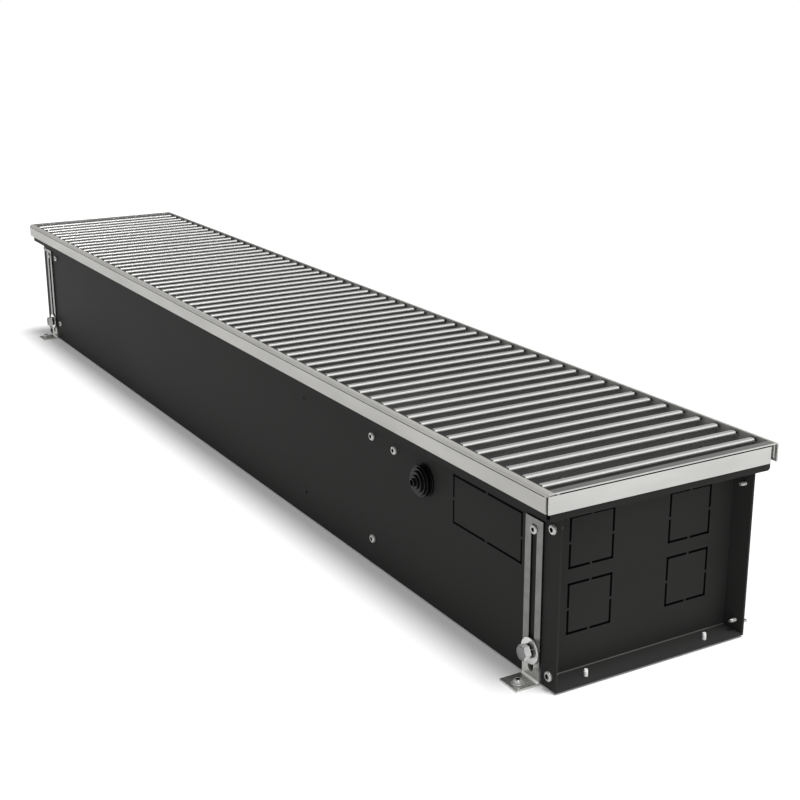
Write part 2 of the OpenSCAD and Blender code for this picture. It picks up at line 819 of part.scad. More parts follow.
module copper_tubes() {
    tube_l = tubes_near_x - tubes_far_x;
    color([0.72, 0.45, 0.3]) translate([tubes_far_x, 0, 0]) at_tubes() difference() {
        cylinder(r = tube_r, h = tube_l);
        translate([0, 0, -over]) cylinder(r = tube_bore_r, h = tube_l + 2 * over);
    }
}

// Half-round bend in the XY plane, from y = 0 to y = pitch, bulging towards +X
module return_bend(pitch) {
    translate([0, pitch / 2, 0]) rotate([0, 0, -90]) rotate_extrude(angle = 180) translate([pitch / 2, 0]) difference() {
        circle(r = tube_r);
        circle(r = tube_bore_r);
    }
}

module far_bends() {
    color([0.72, 0.45, 0.3]) for (i = [0, 1])
        translate([tubes_far_x, tube_y0 + i * tube_pitch_y, tube_z0]) rotate([90, 0, 0])
            mirror([1, 0, 0]) return_bend(tube_pitch_z);
}

module near_bend() {
    color([0.72, 0.45, 0.3]) translate([tubes_near_x, tube_y0, tube_z0 + tube_pitch_z]) return_bend(tube_pitch_y);
}

module pipe_connectors() {
    color([0.78, 0.62, 0.28]) for (i = [0, 1])
        translate([tubes_near_x, tube_y0 + i * tube_pitch_y, tube_z0]) face_near() difference() {
            cylinder(d = connector_af / cos(30), h = connector_l, $fn = 6);
            translate([0, 0, -over]) cylinder(r = tube_bore_r, h = connector_l + 2 * over);
            translate([0, 0, connector_l - thread_l]) cylinder(r = thread_r, h = thread_l + over);
        }
}

module vent_valve() {
    color([0.78, 0.62, 0.28]) translate([vent_x, vent_y, vent_z]) difference() {
        cylinder(r = vent_r, h = vent_h);
        translate([0, 0, vent_h - vent_screw_l - vent_room])
            cylinder(r = vent_screw_r + fit, h = vent_screw_l + vent_room + over);
    }
}

module vent_screw() {
    color([0.7, 0.7, 0.7]) translate([vent_x, vent_y, vent_z + vent_h + fit]) difference() {
        union() {
            cylinder(r = vent_head_r, h = vent_head_h);
            translate([0, 0, -vent_screw_l]) cylinder(r = vent_screw_r, h = vent_screw_l + vent_head_h / 2);
        }
        block([-vent_head_r - over, -vent_slot_w / 2, vent_head_h - vent_slot_d],
            [vent_head_r + over, vent_slot_w / 2, vent_head_h + over]);
    }
}

// Saddles on the trough's floor that the fin pack stands on
module exchanger_saddles() {
    run = fins_l - fin_gap;
    color([0.2, 0.2, 0.2]) for (i = [0 : saddle_n - 1])
        translate([partition_far_x + 1.5 * fin_gap + i * (run - saddle_w) / (saddle_n - 1), 0, 0])
            difference() {
                block([0, fin_y0 + fin_w * 0.1, floor_z], [saddle_w, fin_y0 + fin_w * 0.9, fin_z0]);
                block([-over, fin_y0 + fin_w * 0.1 + sheet_t, floor_z + sheet_t],
                    [saddle_w + over, fin_y0 + fin_w * 0.9 - sheet_t, fin_z0 - sheet_t]);
            }
}

// Fan

module at_fan(x) {
    translate([x, fan_y, fan_z]) face_near() children();
}

module fan_shaft() {
    color([0.7, 0.7, 0.72]) at_fan(shaft_far_x) cylinder(r = shaft_r, h = shaft_near_x - shaft_far_x);
}

module impeller() {
    disc_step = (impeller_l - disc_t) / (disc_n - 1);
    color([0.25, 0.25, 0.27]) difference() {
        union() {
            for (i = [0 : blade_n - 1]) rotate([0, 0, i * 360 / blade_n])
                translate([impeller_r - blade_d, 0, 0]) rotate([0, 0, blade_lean])
                    translate([0, -blade_t / 2, 0]) cube([blade_d, blade_t, impeller_l]);
            for (i = [0 : disc_n - 1]) translate([0, 0, i * disc_step]) cylinder(r = impeller_r, h = disc_t);
            for (z = [0, impeller_l - hub_r]) translate([0, 0, z]) cylinder(r = hub_r, h = hub_r);
        }
        translate([0, 0, -over]) cylinder(r = shaft_r + fit, h = impeller_l + 2 * over);
    }
}

module impeller_near() {
    at_fan(impeller_near_x) impeller();
}

module impeller_far() {
    at_fan(impeller_far_x) impeller();
}

module fan_motor() {
    color([0.3, 0.3, 0.32]) at_fan(motor_x - motor_l / 2) difference() {
        union() {
            cylinder(r = motor_r * 0.8, h = motor_l);
            translate([0, 0, motor_l * 0.15]) cylinder(r = motor_r, h = motor_l * 0.7);
        }
        translate([0, 0, -over]) cylinder(r = shaft_r + fit, h = motor_l + 2 * over);
    }
}

// Cradle that holds the motor off the trough's floor
module motor_bracket() {
    cradle_w = motor_l * 0.4;
    color([0.55, 0.56, 0.57]) difference() {
        block([motor_x - cradle_w / 2, fan_y - motor_r * 0.8, floor_z], [motor_x + cradle_w / 2, fan_y + motor_r * 0.8, fan_z - motor_r * 0.5]);
        at_fan(motor_x - cradle_w) cylinder(r = motor_r + fit, h = 2 * cradle_w);
        block([motor_x - cradle_w, fan_y - motor_r * 0.55, floor_z + 2 * plate_t], [motor_x + cradle_w, fan_y + motor_r * 0.55, fan_z - motor_r * 1.2]);
    }
}

module bearing() {
    difference() {
        union() {
            cylinder(r = bearing_r, h = bearing_l / 3);
            cylinder(r = bearing_r * 0.7, h = bearing_l);
        }
        translate([0, 0, -over]) cylinder(r = shaft_r + fit, h = bearing_l + 2 * over);
    }
}

module fan_bearings() {
    color([0.1, 0.1, 0.1]) {
        translate([partition_near_x, fan_y, fan_z]) rotate([0, -90, 0]) bearing();
        at_fan(partition_far_x) bearing();
    }
}

// Air guide under one impeller: a half-round pan, its front wall and its legs
module scroll(x, l) {
    color([0.6, 0.61, 0.62]) translate([x, fan_y, fan_z]) {
        difference() {
            union() {
                face_near() cylinder(r = scroll_r + scroll_t, h = l);
                for (leg = [scroll_leg_w, l - 2 * scroll_leg_w])
                    block([leg, -scroll_r / 2, floor_z - fan_z], [leg + scroll_leg_w, scroll_r / 2, 0]);
            }
            translate([-over, 0, 0]) face_near() cylinder(r = scroll_r, h = l + 2 * over);
            block([-over, -scroll_r - 2 * scroll_t, 0], [l + over, scroll_r + 2 * scroll_t, scroll_r + 2 * scroll_t]);
            for (leg = [scroll_leg_w, l - 2 * scroll_leg_w])
                block([leg - over, -scroll_r / 2 + scroll_t, floor_z - fan_z + scroll_t],
                    [leg + scroll_leg_w + over, scroll_r / 2 - scroll_t, -scroll_r - scroll_t]);
        }
        block([0, -scroll_r - scroll_t, 0], [l, -scroll_r, scroll_wall_h]);
        block([0, scroll_r, -scroll_t], [l, scroll_r + 6 * scroll_t, 0]);
    }
}

module fan_scroll_near() {
    scroll(impeller_near_x, impeller_l);
}

module fan_scroll_far() {
    scroll(impeller_far_x, impeller_l);
}

// Control box and wiring

module at_box_corners() {
    boss_in = box_t + boss_r * 0.8;
    for (x = [box_x + boss_in, box_x + box_w - boss_in], z = [box_z + boss_in, box_z + box_h - boss_in])
        translate([x, -inner_y, z]) children();
}

module control_box() {
    color([0.85, 0.85, 0.83]) difference() {
        union() {
            difference() {
                block([box_x, -inner_y, box_z], [box_x + box_w, -inner_y + box_d, box_z + box_h]);
                block([box_x + box_t, -inner_y + box_t, box_z + box_t],
                    [box_x + box_w - box_t, -inner_y + box_d + over, box_z + box_h - box_t]);
            }
            at_box_corners() rotate([-90, 0, 0]) cylinder(r = boss_r, h = box_d);
        }
        at_box_corners() translate([0, box_d - lid_screw_l, 0]) rotate([-90, 0, 0])
            cylinder(r = lid_screw_r + fit, h = lid_screw_l + over);
        translate([box_screw_x, -inner_y - over, casing_z + box_screw_z]) rotate([-90, 0, 0])
            cylinder(r = screw_hole_r, h = box_t + 2 * over);
        translate([box_x + box_w - box_t - over, gland_y, gland_z]) face_near()
            cylinder(d = gland_bore, h = box_t + 2 * over);
    }
}

module control_box_lid() {
    color([0.88, 0.88, 0.86]) difference() {
        block([box_x, -inner_y + box_d, box_z], [box_x + box_w, -inner_y + box_d + lid_t, box_z + box_h]);
        at_box_corners() translate([0, box_d - over, 0]) rotate([-90, 0, 0])
            cylinder(r = lid_screw_r + fit, h = lid_t + 2 * over);
    }
}

module lid_screws() {
    color([0.75, 0.75, 0.75]) at_box_corners() translate([0, box_d + lid_t, 0]) rotate([-90, 0, 0])
        button_screw(lid_screw_r, lid_screw_l, lid_head_r, lid_head_h);
}

module terminal_block() {
    terminals_w = terminal_n * terminal_w;
    color([0.9, 0.9, 0.88]) translate([box_x + (box_w - terminals_w) / 2, -inner_y + box_t, box_z + box_t]) difference() {
        cube([terminals_w, terminal_d, terminal_h]);
        for (i = [0 : terminal_n - 1])
            translate([(i + 0.5) * terminal_w, terminal_d / 2, terminal_h / 2]) {
                cylinder(r = terminal_w * 0.28, h = terminal_h);
                rotate([-90, 0, 0]) cylinder(r = terminal_w * 0.2, h = terminal_d);
            }
    }
}

module box_gland() {
    color([0.25, 0.25, 0.25]) translate([box_x + box_w, gland_y, gland_z]) face_near() difference() {
        union() {
            cylinder(r = gland_r, h = gland_l / 2, $fn = 6);
            cylinder(r = gland_r * 0.75, h = gland_l);
        }
        translate([0, 0, -over]) cylinder(d = gland_bore, h = gland_l + 2 * over);
    }
}

module box_screw() {
    color([0.8, 0.8, 0.8]) translate([box_screw_x, -casing_y, casing_z + box_screw_z]) face_front()
        button_screw(screw_r, sheet_t + box_t + box_screw_over, screw_head_r, screw_head_h);
}

// Quarter bend of the lead in the XY plane, from the origin along +X, turning towards +Y
module lead_quarter() {
    translate([0, lead_bend, 0]) rotate([0, 0, -90]) rotate_extrude(angle = 90) translate([lead_bend, 0]) circle(r = lead_r);
}

module lead_run(from, along, l) {
    translate(from) rotate(along) cylinder(r = lead_r, h = l);
}

module motor_lead() {
    motor_side = motor_r + fit;
    run_x = motor_x + lead_bend;
    color([0.15, 0.15, 0.15]) {
        lead_run([motor_x, fan_y - motor_side, fan_z], [90, 0, 0], fan_y - motor_side - lead_start_y);
        translate([motor_x, lead_start_y, fan_z]) rotate([0, 90, 0]) rotate([0, 0, -90]) lead_quarter();
        lead_run([motor_x, lead_y, lead_z + lead_bend], [0, 0, 0], fan_z - lead_z - 2 * lead_bend);
        translate([run_x, lead_y, lead_z]) mirror([1, 0, 0]) rotate([90, 0, 0]) lead_quarter();
        lead_run([run_x, lead_y, lead_z], [0, 90, 0], lead_up_x - lead_bend - run_x);
        translate([lead_up_x - lead_bend, lead_y, lead_z]) rotate([90, 0, 0]) lead_quarter();
        lead_run([lead_up_x, lead_y, lead_z + lead_bend], [0, 0, 0], box_z - lead_z - lead_bend);
    }
}

module lead_clips() {
    clip_y = lead_y + lead_r + sheet_t;
    color([0.9, 0.9, 0.9]) for (share = [0.25, 0.5, 0.75]) {
        x = motor_x + share * (partition_near_x - motor_x);
        difference() {
            block([x, -inner_y, floor_z], [x + clip_w, clip_y, lead_z + lead_r + sheet_t]);
            translate([x - over, lead_y, lead_z]) face_near() cylinder(r = lead_r + fit, h = clip_w + 2 * over);
        }
    }
}

trough();
end_plate_near();
end_plate_far();
side_screws();
bottom_screws();
frame_front();
frame_rear();
frame_near();
frame_far();
grille_bars();
grille_rods();
grille_spacers();
grille_rod_caps();
grille_pads();
foot_front_near();
foot_front_far();
foot_rear_near();
foot_rear_far();
lock_screw_front_near();
lock_screw_front_far();
lock_screw_rear_near();
lock_screw_rear_far();
floor_screw_front_near();
floor_screw_front_far();
floor_screw_rear_near();
floor_screw_rear_far();
clamp_bolts();
clamp_washers();
spring_washers();
clamp_nuts();
cable_grommet();
partition_near();
partition_far();
partition_screws();
fin_pack();
copper_tubes();
far_bends();
near_bend();
pipe_connectors();
vent_valve();
vent_screw();
exchanger_saddles();
fan_shaft();
impeller_near();
impeller_far();
fan_motor();
motor_bracket();
fan_bearings();
fan_scroll_near();
fan_scroll_far();
control_box();
control_box_lid();
lid_screws();
terminal_block();
box_gland();
box_screw();
motor_lead();
lead_clips();
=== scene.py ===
import math

import bmesh
import bpy
from mathutils import Matrix, Vector


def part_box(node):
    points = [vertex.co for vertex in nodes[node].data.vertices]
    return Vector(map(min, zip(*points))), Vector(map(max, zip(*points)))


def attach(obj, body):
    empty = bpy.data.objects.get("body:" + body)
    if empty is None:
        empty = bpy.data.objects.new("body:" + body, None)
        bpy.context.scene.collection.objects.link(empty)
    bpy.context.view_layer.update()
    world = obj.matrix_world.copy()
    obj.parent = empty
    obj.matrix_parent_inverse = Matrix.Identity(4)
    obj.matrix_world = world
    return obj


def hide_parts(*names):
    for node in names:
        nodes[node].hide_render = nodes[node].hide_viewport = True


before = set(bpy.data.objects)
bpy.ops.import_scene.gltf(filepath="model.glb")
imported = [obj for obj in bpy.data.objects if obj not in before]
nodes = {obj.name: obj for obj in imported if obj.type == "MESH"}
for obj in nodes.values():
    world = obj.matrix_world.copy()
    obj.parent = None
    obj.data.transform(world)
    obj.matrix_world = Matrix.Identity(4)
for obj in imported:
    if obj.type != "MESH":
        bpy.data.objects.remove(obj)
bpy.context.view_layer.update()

MM = 0.001

# The heater's two long sides, its two ends and the four legs at its corners
SIDES = {"front": -1, "rear": 1}
ENDS = {"near": 1, "far": -1}
LEGS = [
    (f"{side_name}_{end_name}", side_name, side, end)
    for side_name, side in SIDES.items() for end_name, end in ENDS.items()
]

# Levels in metres at which a finish or its painted light or shade changes, and the heights over which it does
RECESS_FLOOR = 4.3 * MM
CAP_UNDERSIDE = 188.4 * MM
# Heights of the feet's painted light: the upright's lighter lower end, its soft edge and the tab
FOOT_BRIGHT_TOP = 17 * MM
FOOT_BRIGHT_SOFT = 10 * MM
FOOT_TAB_TOP = 2.3 * MM
HARD_LINE = 0.2 * MM

# Places in millimetres that several new pieces share
WALL_FACE = 109.2
END_FACE = 718.0
FOOT_FACE = 111.25
TAB_TOP = 2.0
LEG_X = 708.3

# The photograph's camera, in metres in the heater's own frame
CAMERA_PLACE = Vector((1.58706, -0.75547, 0.59175))
CAMERA_AIM = Vector((-0.07975, 0.21585, -0.00042))
CAMERA_ROLL = math.radians(-0.18)
CAMERA_LENS = 61.56
CAMERA_SENSOR = 36.0
CAMERA_NEAREST = 0.01

# Colours, linear
BLACK_COAT = (0.0243, 0.0243, 0.0237)
BLACK_COAT_WORN = (0.029, 0.029, 0.0282)
# The recess floor's coat, lighter than the walls': painted light on the upward-facing floor
BLACK_COAT_LIT_FLOOR = (0.030, 0.030, 0.0295)
# A lighter grey for the round inside the end plates' bend: painted highlight
BEND_HIGHLIGHT_GREY = (0.085, 0.085, 0.082)
# Near black for the strips and pads in the frame's grooves and the knock-outs' cuts: painted shade
SHADE_BLACK = (0.0012, 0.0012, 0.0012)
PROFILE_GREY = (0.525, 0.52, 0.498)
END_PROFILE_GREY = (0.57, 0.57, 0.553)
BAR_SILVER = (0.97, 0.97, 0.955)
# The bars' web below the cap: dark grey, painted shade between the bars
BAR_WEB_SHADE_GREY = (0.20, 0.20, 0.196)
FOOT_ZINC = (0.17, 0.17, 0.165)
# Lighter zinc for the foot's lower upright and its tab: painted light
FOOT_LOW_PAINTED_LIGHT = (0.88, 0.88, 0.84)
FOOT_TAB_PAINTED_LIGHT = (0.52, 0.52, 0.50)
# Near white for the round inside each foot's bend: painted highlight
FOOT_BEND_HIGHLIGHT = (0.97, 0.97, 0.95)
WASHER_ZINC = (0.72, 0.72, 0.71)
# A darker zinc for the bolt head's face and chamfer: painted shade
BOLT_FACE_SHADE = (0.21, 0.21, 0.21)
# Near black for the screws' sockets: painted shade in the recess
SOCKET_SHADE = (0.012, 0.012, 0.012)
SHEET_ZINC = (0.42, 0.43, 0.44)
SCREW_ZINC = (0.50, 0.50, 0.49)
BOLT_ZINC = (0.90, 0.90, 0.89)
SPRING_STEEL = (0.006, 0.006, 0.006)
# The grille's spacers: dark plastic, made darker still as painted shade between the bars
SPACER_SHADE_GREY = (0.07, 0.07, 0.068)
ROD_STEEL = (0.30, 0.30, 0.31)
FIN_SILVER = (0.80, 0.81, 0.82)
COPPER_RED = (0.72, 0.33, 0.18)
BRASS_YELLOW = (0.76, 0.55, 0.24)
RUBBER_BLACK = (0.012, 0.012, 0.012)
GROMMET_BLACK = (0.003, 0.003, 0.003)
PLASTIC_BLACK = (0.016, 0.016, 0.017)
PLASTIC_PALE = (0.70, 0.70, 0.66)
MOTOR_BLACK = (0.028, 0.028, 0.032)
WHITE = (1.0, 1.0, 1.0, 1.0)


# Material building blocks

# Pattern scales are per metre, and relief is in metres
EVEN = (1.0, 1.0, 1.0)
NOISE_SPAN = (0.3, 0.7)
CLOUD_DETAIL = 3.0
FINE_RELIEF = 0.0002
GRAIN_RELIEF = 0.0003


def new_material(name, colour, metallic, roughness):
    """A material with one Principled shader, and its node tree and shader."""
    material = bpy.data.materials.new(name)
    material.use_nodes = True
    tree = material.node_tree
    shader = tree.nodes["Principled BSDF"]
    shader.inputs["Base Color"].default_value = (*colour, 1.0)
    shader.inputs["Metallic"].default_value = metallic
    shader.inputs["Roughness"].default_value = roughness
    return material, tree, shader


def stretched_coordinates(tree, stretch):
    """Object coordinates, scaled along each axis."""
    coordinates = tree.nodes.new("ShaderNodeTexCoord")
    mapping = tree.nodes.new("ShaderNodeMapping")
    mapping.inputs["Scale"].default_value = stretch
    tree.links.new(coordinates.outputs["Object"], mapping.inputs["Vector"])
    return mapping.outputs["Vector"]


def noise(tree, vector, scale, detail=2.0, roughness=0.5):
    """A noise pattern's grey value."""
    texture = tree.nodes.new("ShaderNodeTexNoise")
    texture.inputs["Scale"].default_value = scale
    texture.inputs["Detail"].default_value = detail
    texture.inputs["Roughness"].default_value = roughness
    tree.links.new(vector, texture.inputs["Vector"])
    return texture.outputs["Fac"]


def range_of(tree, value, low, high, start=0.0, stop=1.0):
    """Maps a value from start to stop onto low to high."""
    mapped = tree.nodes.new("ShaderNodeMapRange")
    mapped.inputs["From Min"].default_value = start
    mapped.inputs["From Max"].default_value = stop
    mapped.inputs["To Min"].default_value = low
    mapped.inputs["To Max"].default_value = high
    tree.links.new(value, mapped.inputs["Value"])
    return mapped.outputs["Result"]


def spread(tree, pattern, low=0.0, high=1.0):
    """Maps the part of a noise pattern's range that it really fills onto low to high."""
    return range_of(tree, pattern, low, high, *NOISE_SPAN)


def around(tree, pattern, middle, swing):
    """A value that a noise pattern moves to both sides of its middle."""
    return spread(tree, pattern, middle - swing, middle + swing)


def shade_of(colour, factor):
    """A colour made darker or lighter by a factor, no channel past 1."""
    return tuple(min(1.0, channel * factor) for channel in colour)


def blend_colours(tree, value, first, second):
    """A colour between two fixed ones, by a value from 0 to 1."""
    mix = tree.nodes.new("ShaderNodeMix")
    mix.data_type = "RGBA"
    mix.inputs["A"].default_value = (*first, 1.0)
    mix.inputs["B"].default_value = (*second, 1.0)
    tree.links.new(value, mix.inputs["Factor"])
    return mix.outputs["Result"]


def shades_of(tree, value, colour, contrast):
    """A colour that runs from a darker to a lighter shade of itself, by a value from 0 to 1."""
    return blend_colours(tree, value, shade_of(colour, 1.0 - contrast), shade_of(colour, 1.0 + contrast))


def colour_into(tree, value, first, pattern):
    """A colour from a fixed one to another pattern's colour, by a value from 0 to 1."""
    mix = tree.nodes.new("ShaderNodeMix")
    mix.data_type = "RGBA"
    mix.inputs["A"].default_value = (*first, 1.0)
    tree.links.new(pattern, mix.inputs["B"])
    tree.links.new(value, mix.inputs["Factor"])
    return mix.outputs["Result"]


def above(tree, height, soft=HARD_LINE):
    """0 below a height on the piece and 1 above it, over a soft edge."""
    coordinates = tree.nodes.new("ShaderNodeTexCoord")
    split = tree.nodes.new("ShaderNodeSeparateXYZ")
    tree.links.new(coordinates.outputs["Object"], split.inputs["Vector"])
    return range_of(tree, split.outputs["Z"], 0.0, 1.0, height - soft / 2, height + soft / 2)


def add_bump(tree, shader, height, strength, distance):
    """Fine relief on the shader's normal."""
    bump = tree.nodes.new("ShaderNodeBump")
    bump.inputs["Strength"].default_value = strength
    bump.inputs["Distance"].default_value = distance
    tree.links.new(height, bump.inputs["Height"])
    tree.links.new(bump.outputs["Normal"], shader.inputs["Normal"])


# Powder coat of the trough and the end plates

COAT_ROUGHNESS = 0.45
COAT_ROUGHNESS_SPAN = (0.42, 0.5)
COAT_GLOSS = 0.02
COAT_CLOUDS = 5.0
COAT_PEEL = 900.0
COAT_PEEL_STRENGTH = 0.12
# The end plates' coat is the trough's, made lighter by this factor: painted light
END_COAT_LIGHT_LIFT = 1.18


def powder_coat(name, colour, lighter):
    """Satin powder coat: a faint orange peel, a drifting tone and gloss, and a recess floor made lighter as
    painted light.
    """
    material, tree, shader = new_material(name, colour, 0.0, COAT_ROUGHNESS)
    vector = stretched_coordinates(tree, EVEN)
    clouds = noise(tree, vector, COAT_CLOUDS, CLOUD_DETAIL)
    peel = noise(tree, vector, COAT_PEEL)
    walls = blend_colours(tree, spread(tree, clouds), colour, lighter)
    # Below the recess floor's level the coat turns lighter: painted light
    coat = colour_into(tree, above(tree, RECESS_FLOOR), BLACK_COAT_LIT_FLOOR, walls)
    tree.links.new(coat, shader.inputs["Base Color"])
    tree.links.new(spread(tree, clouds, *COAT_ROUGHNESS_SPAN), shader.inputs["Roughness"])
    shader.inputs["Specular IOR Level"].default_value = COAT_GLOSS
    add_bump(tree, shader, peel, COAT_PEEL_STRENGTH, FINE_RELIEF)
    return material


# Drawn metal of the frame's profiles, the rods and the grille's bars

LINE_DETAIL = 4.0
LINE_FINENESS = 0.7
LINE_RELIEF = 0.1
DRAWN_SWING = 0.05
WIDE_CLOUDS = (9.0, 9.0, 40.0)
LINES_ALONG_X = (3.0, 900.0, 900.0)
LINES_ALONG_Y = (900.0, 3.0, 900.0)
ROD_LINES = (5.0, 1500.0, 1500.0)
BAR_LINE_SHADE = 0.9
BAR_ROUGHNESS = 0.25
BAR_WEB_ROUGHNESS = 0.6
BAR_CAP_ROUGHNESS = 0.24
BAR_CAP_METALLIC = 0.8


def drawn_lines(tree, grain):
    """The fine lines that drawing leaves in metal: grain holds their scale along each axis."""
    return noise(tree, stretched_coordinates(tree, grain), 1.0, LINE_DETAIL, LINE_FINENESS)


def drawn_metal(name, colour, grain, roughness=0.32, contrast=0.1, relief=LINE_RELIEF, metallic=1.0,
                cloud=0.0):
    """Metal with a grain of fine lines under wide soft clouds of a darker tone."""
    material, tree, shader = new_material(name, colour, metallic, roughness)
    lines = drawn_lines(tree, grain)
    streaks = shades_of(tree, spread(tree, lines), colour, contrast)
    clouds = noise(tree, stretched_coordinates(tree, WIDE_CLOUDS), 1.0, CLOUD_DETAIL)
    tone = colour_into(tree, spread(tree, clouds), shade_of(colour, 1.0 - cloud), streaks)
    tree.links.new(tone, shader.inputs["Base Color"])
    tree.links.new(around(tree, lines, roughness, DRAWN_SWING), shader.inputs["Roughness"])
    add_bump(tree, shader, lines, relief, FINE_RELIEF)
    return material


def grille_bar():
    """Drawn bar with a bright satin cap over a matt grey web whose darkness is painted shade between the
    bars.
    """
    material, tree, shader = new_material("grille_bar", BAR_SILVER, 1.0, BAR_ROUGHNESS)
    lines = drawn_lines(tree, LINES_ALONG_Y)
    silver = blend_colours(tree, spread(tree, lines), shade_of(BAR_SILVER, BAR_LINE_SHADE), BAR_SILVER)
    # Below the cap's underside the bar turns dark, matt and not metallic: painted shade between the bars
    cap = above(tree, CAP_UNDERSIDE)
    tree.links.new(colour_into(tree, cap, BAR_WEB_SHADE_GREY, silver), shader.inputs["Base Color"])
    tree.links.new(range_of(tree, cap, 0.0, BAR_CAP_METALLIC), shader.inputs["Metallic"])
    tree.links.new(range_of(tree, cap, BAR_WEB_ROUGHNESS, BAR_CAP_ROUGHNESS), shader.inputs["Roughness"])
    add_bump(tree, shader, lines, LINE_RELIEF, FINE_RELIEF)
    return material


# Zinc of the feet, with painted light on the upright's lower end and on the tab

FOOT_ROUGHNESS = 0.2
FOOT_ROUGHNESS_SPAN = (0.16, 0.26)
FOOT_METALLIC_LOW = 0.8
FOOT_CONTRAST = 0.15
FOOT_BLOTCHES = 80.0
FOOT_ROLLING = (600.0, 600.0, 12.0)
FOOT_ROLLING_FINENESS = 0.6
FOOT_ROLLING_STRENGTH = 0.08


def foot_metal():
    """Zinc with painted light: bright at the upright's lower end, dull above it and half bright on the tab.
    """
    material, tree, shader = new_material("foot_metal", FOOT_ZINC, 1.0, FOOT_ROUGHNESS)
    blotches = noise(tree, stretched_coordinates(tree, EVEN), FOOT_BLOTCHES, CLOUD_DETAIL)
    rolled = noise(
        tree, stretched_coordinates(tree, FOOT_ROLLING), 1.0, CLOUD_DETAIL, FOOT_ROLLING_FINENESS)
    dull = shades_of(tree, spread(tree, blotches), FOOT_ZINC, FOOT_CONTRAST)
    # The upright turns lighter and less metallic below this height: painted reflection
    height = above(tree, FOOT_BRIGHT_TOP, FOOT_BRIGHT_SOFT)
    upright = colour_into(tree, height, FOOT_LOW_PAINTED_LIGHT, dull)
    # The tab takes its own lighter zinc: painted light
    foot = colour_into(tree, above(tree, FOOT_TAB_TOP), FOOT_TAB_PAINTED_LIGHT, upright)
    tree.links.new(foot, shader.inputs["Base Color"])
    tree.links.new(range_of(tree, height, FOOT_METALLIC_LOW, 1.0), shader.inputs["Metallic"])
    tree.links.new(spread(tree, blotches, *FOOT_ROUGHNESS_SPAN), shader.inputs["Roughness"])
    add_bump(tree, shader, rolled, FOOT_ROLLING_STRENGTH, FINE_RELIEF)
    return material


# Plated, cast and hot-dipped metal

MOTTLED_GRAINS = 12.0
MOTTLED_SWING = 0.06
MOTTLED_RELIEF = 0.08
SPANGLE_CRYSTALS = 110.0
SPANGLE_CONTRAST = 0.18
SPANGLE_ROUGHNESS = 0.4
SPANGLE_ROUGHNESS_SPAN = (0.33, 0.45)


def mottled_metal(name, colour, size, roughness=0.35, contrast=0.12, metallic=1.0):
    """Plated or cast metal: soft blotches of tone and gloss, size metres across."""
    material, tree, shader = new_material(name, colour, metallic, roughness)
    vector = stretched_coordinates(tree, EVEN)
    blotches = noise(tree, vector, 1.0 / size, CLOUD_DETAIL)
    grains = noise(tree, vector, MOTTLED_GRAINS / size)
    tree.links.new(shades_of(tree, spread(tree, blotches), colour, contrast), shader.inputs["Base Color"])
    tree.links.new(around(tree, blotches, roughness, MOTTLED_SWING), shader.inputs["Roughness"])
    add_bump(tree, shader, grains, MOTTLED_RELIEF, FINE_RELIEF)
    return material


def spangled_zinc(name, colour):
    """Hot-dip zinc: flat crystals that each have their own tone."""
    material, tree, shader = new_material(name, colour, 1.0, SPANGLE_ROUGHNESS)
    crystals = tree.nodes.new("ShaderNodeTexVoronoi")
    crystals.inputs["Scale"].default_value = SPANGLE_CRYSTALS
    tree.links.new(stretched_coordinates(tree, EVEN), crystals.inputs["Vector"])
    tone = tree.nodes.new("ShaderNodeSeparateColor")
    tree.links.new(crystals.outputs["Color"], tone.inputs["Color"])
    zinc = shades_of(tree, tone.outputs["Red"], colour, SPANGLE_CONTRAST)
    tree.links.new(zinc, shader.inputs["Base Color"])
    rough = spread(tree, tone.outputs["Green"], *SPANGLE_ROUGHNESS_SPAN)
    tree.links.new(rough, shader.inputs["Roughness"])
    return material


# Plastic, rubber, mastic and felt

MOULDED_CLOUDS = 30.0
MOULDED_CONTRAST = 0.08
MOULDED_SWING = 0.05


def moulded(name, colour, roughness, grain_size, relief, gloss=0.5):
    """Plastic or rubber: a fine moulded grain and a slightly uneven tone."""
    material, tree, shader = new_material(name, colour, 0.0, roughness)
    shader.inputs["Specular IOR Level"].default_value = gloss
    vector = stretched_coordinates(tree, EVEN)
    clouds = noise(tree, vector, MOULDED_CLOUDS, CLOUD_DETAIL)
    grain = noise(tree, vector, 1.0 / grain_size)
    tone = shades_of(tree, spread(tree, clouds), colour, MOULDED_CONTRAST)
    tree.links.new(tone, shader.inputs["Base Color"])
    tree.links.new(around(tree, grain, roughness, MOULDED_SWING), shader.inputs["Roughness"])
    add_bump(tree, shader, grain, relief, GRAIN_RELIEF)
    return material


# The heater's finishes, and the nodes that have each

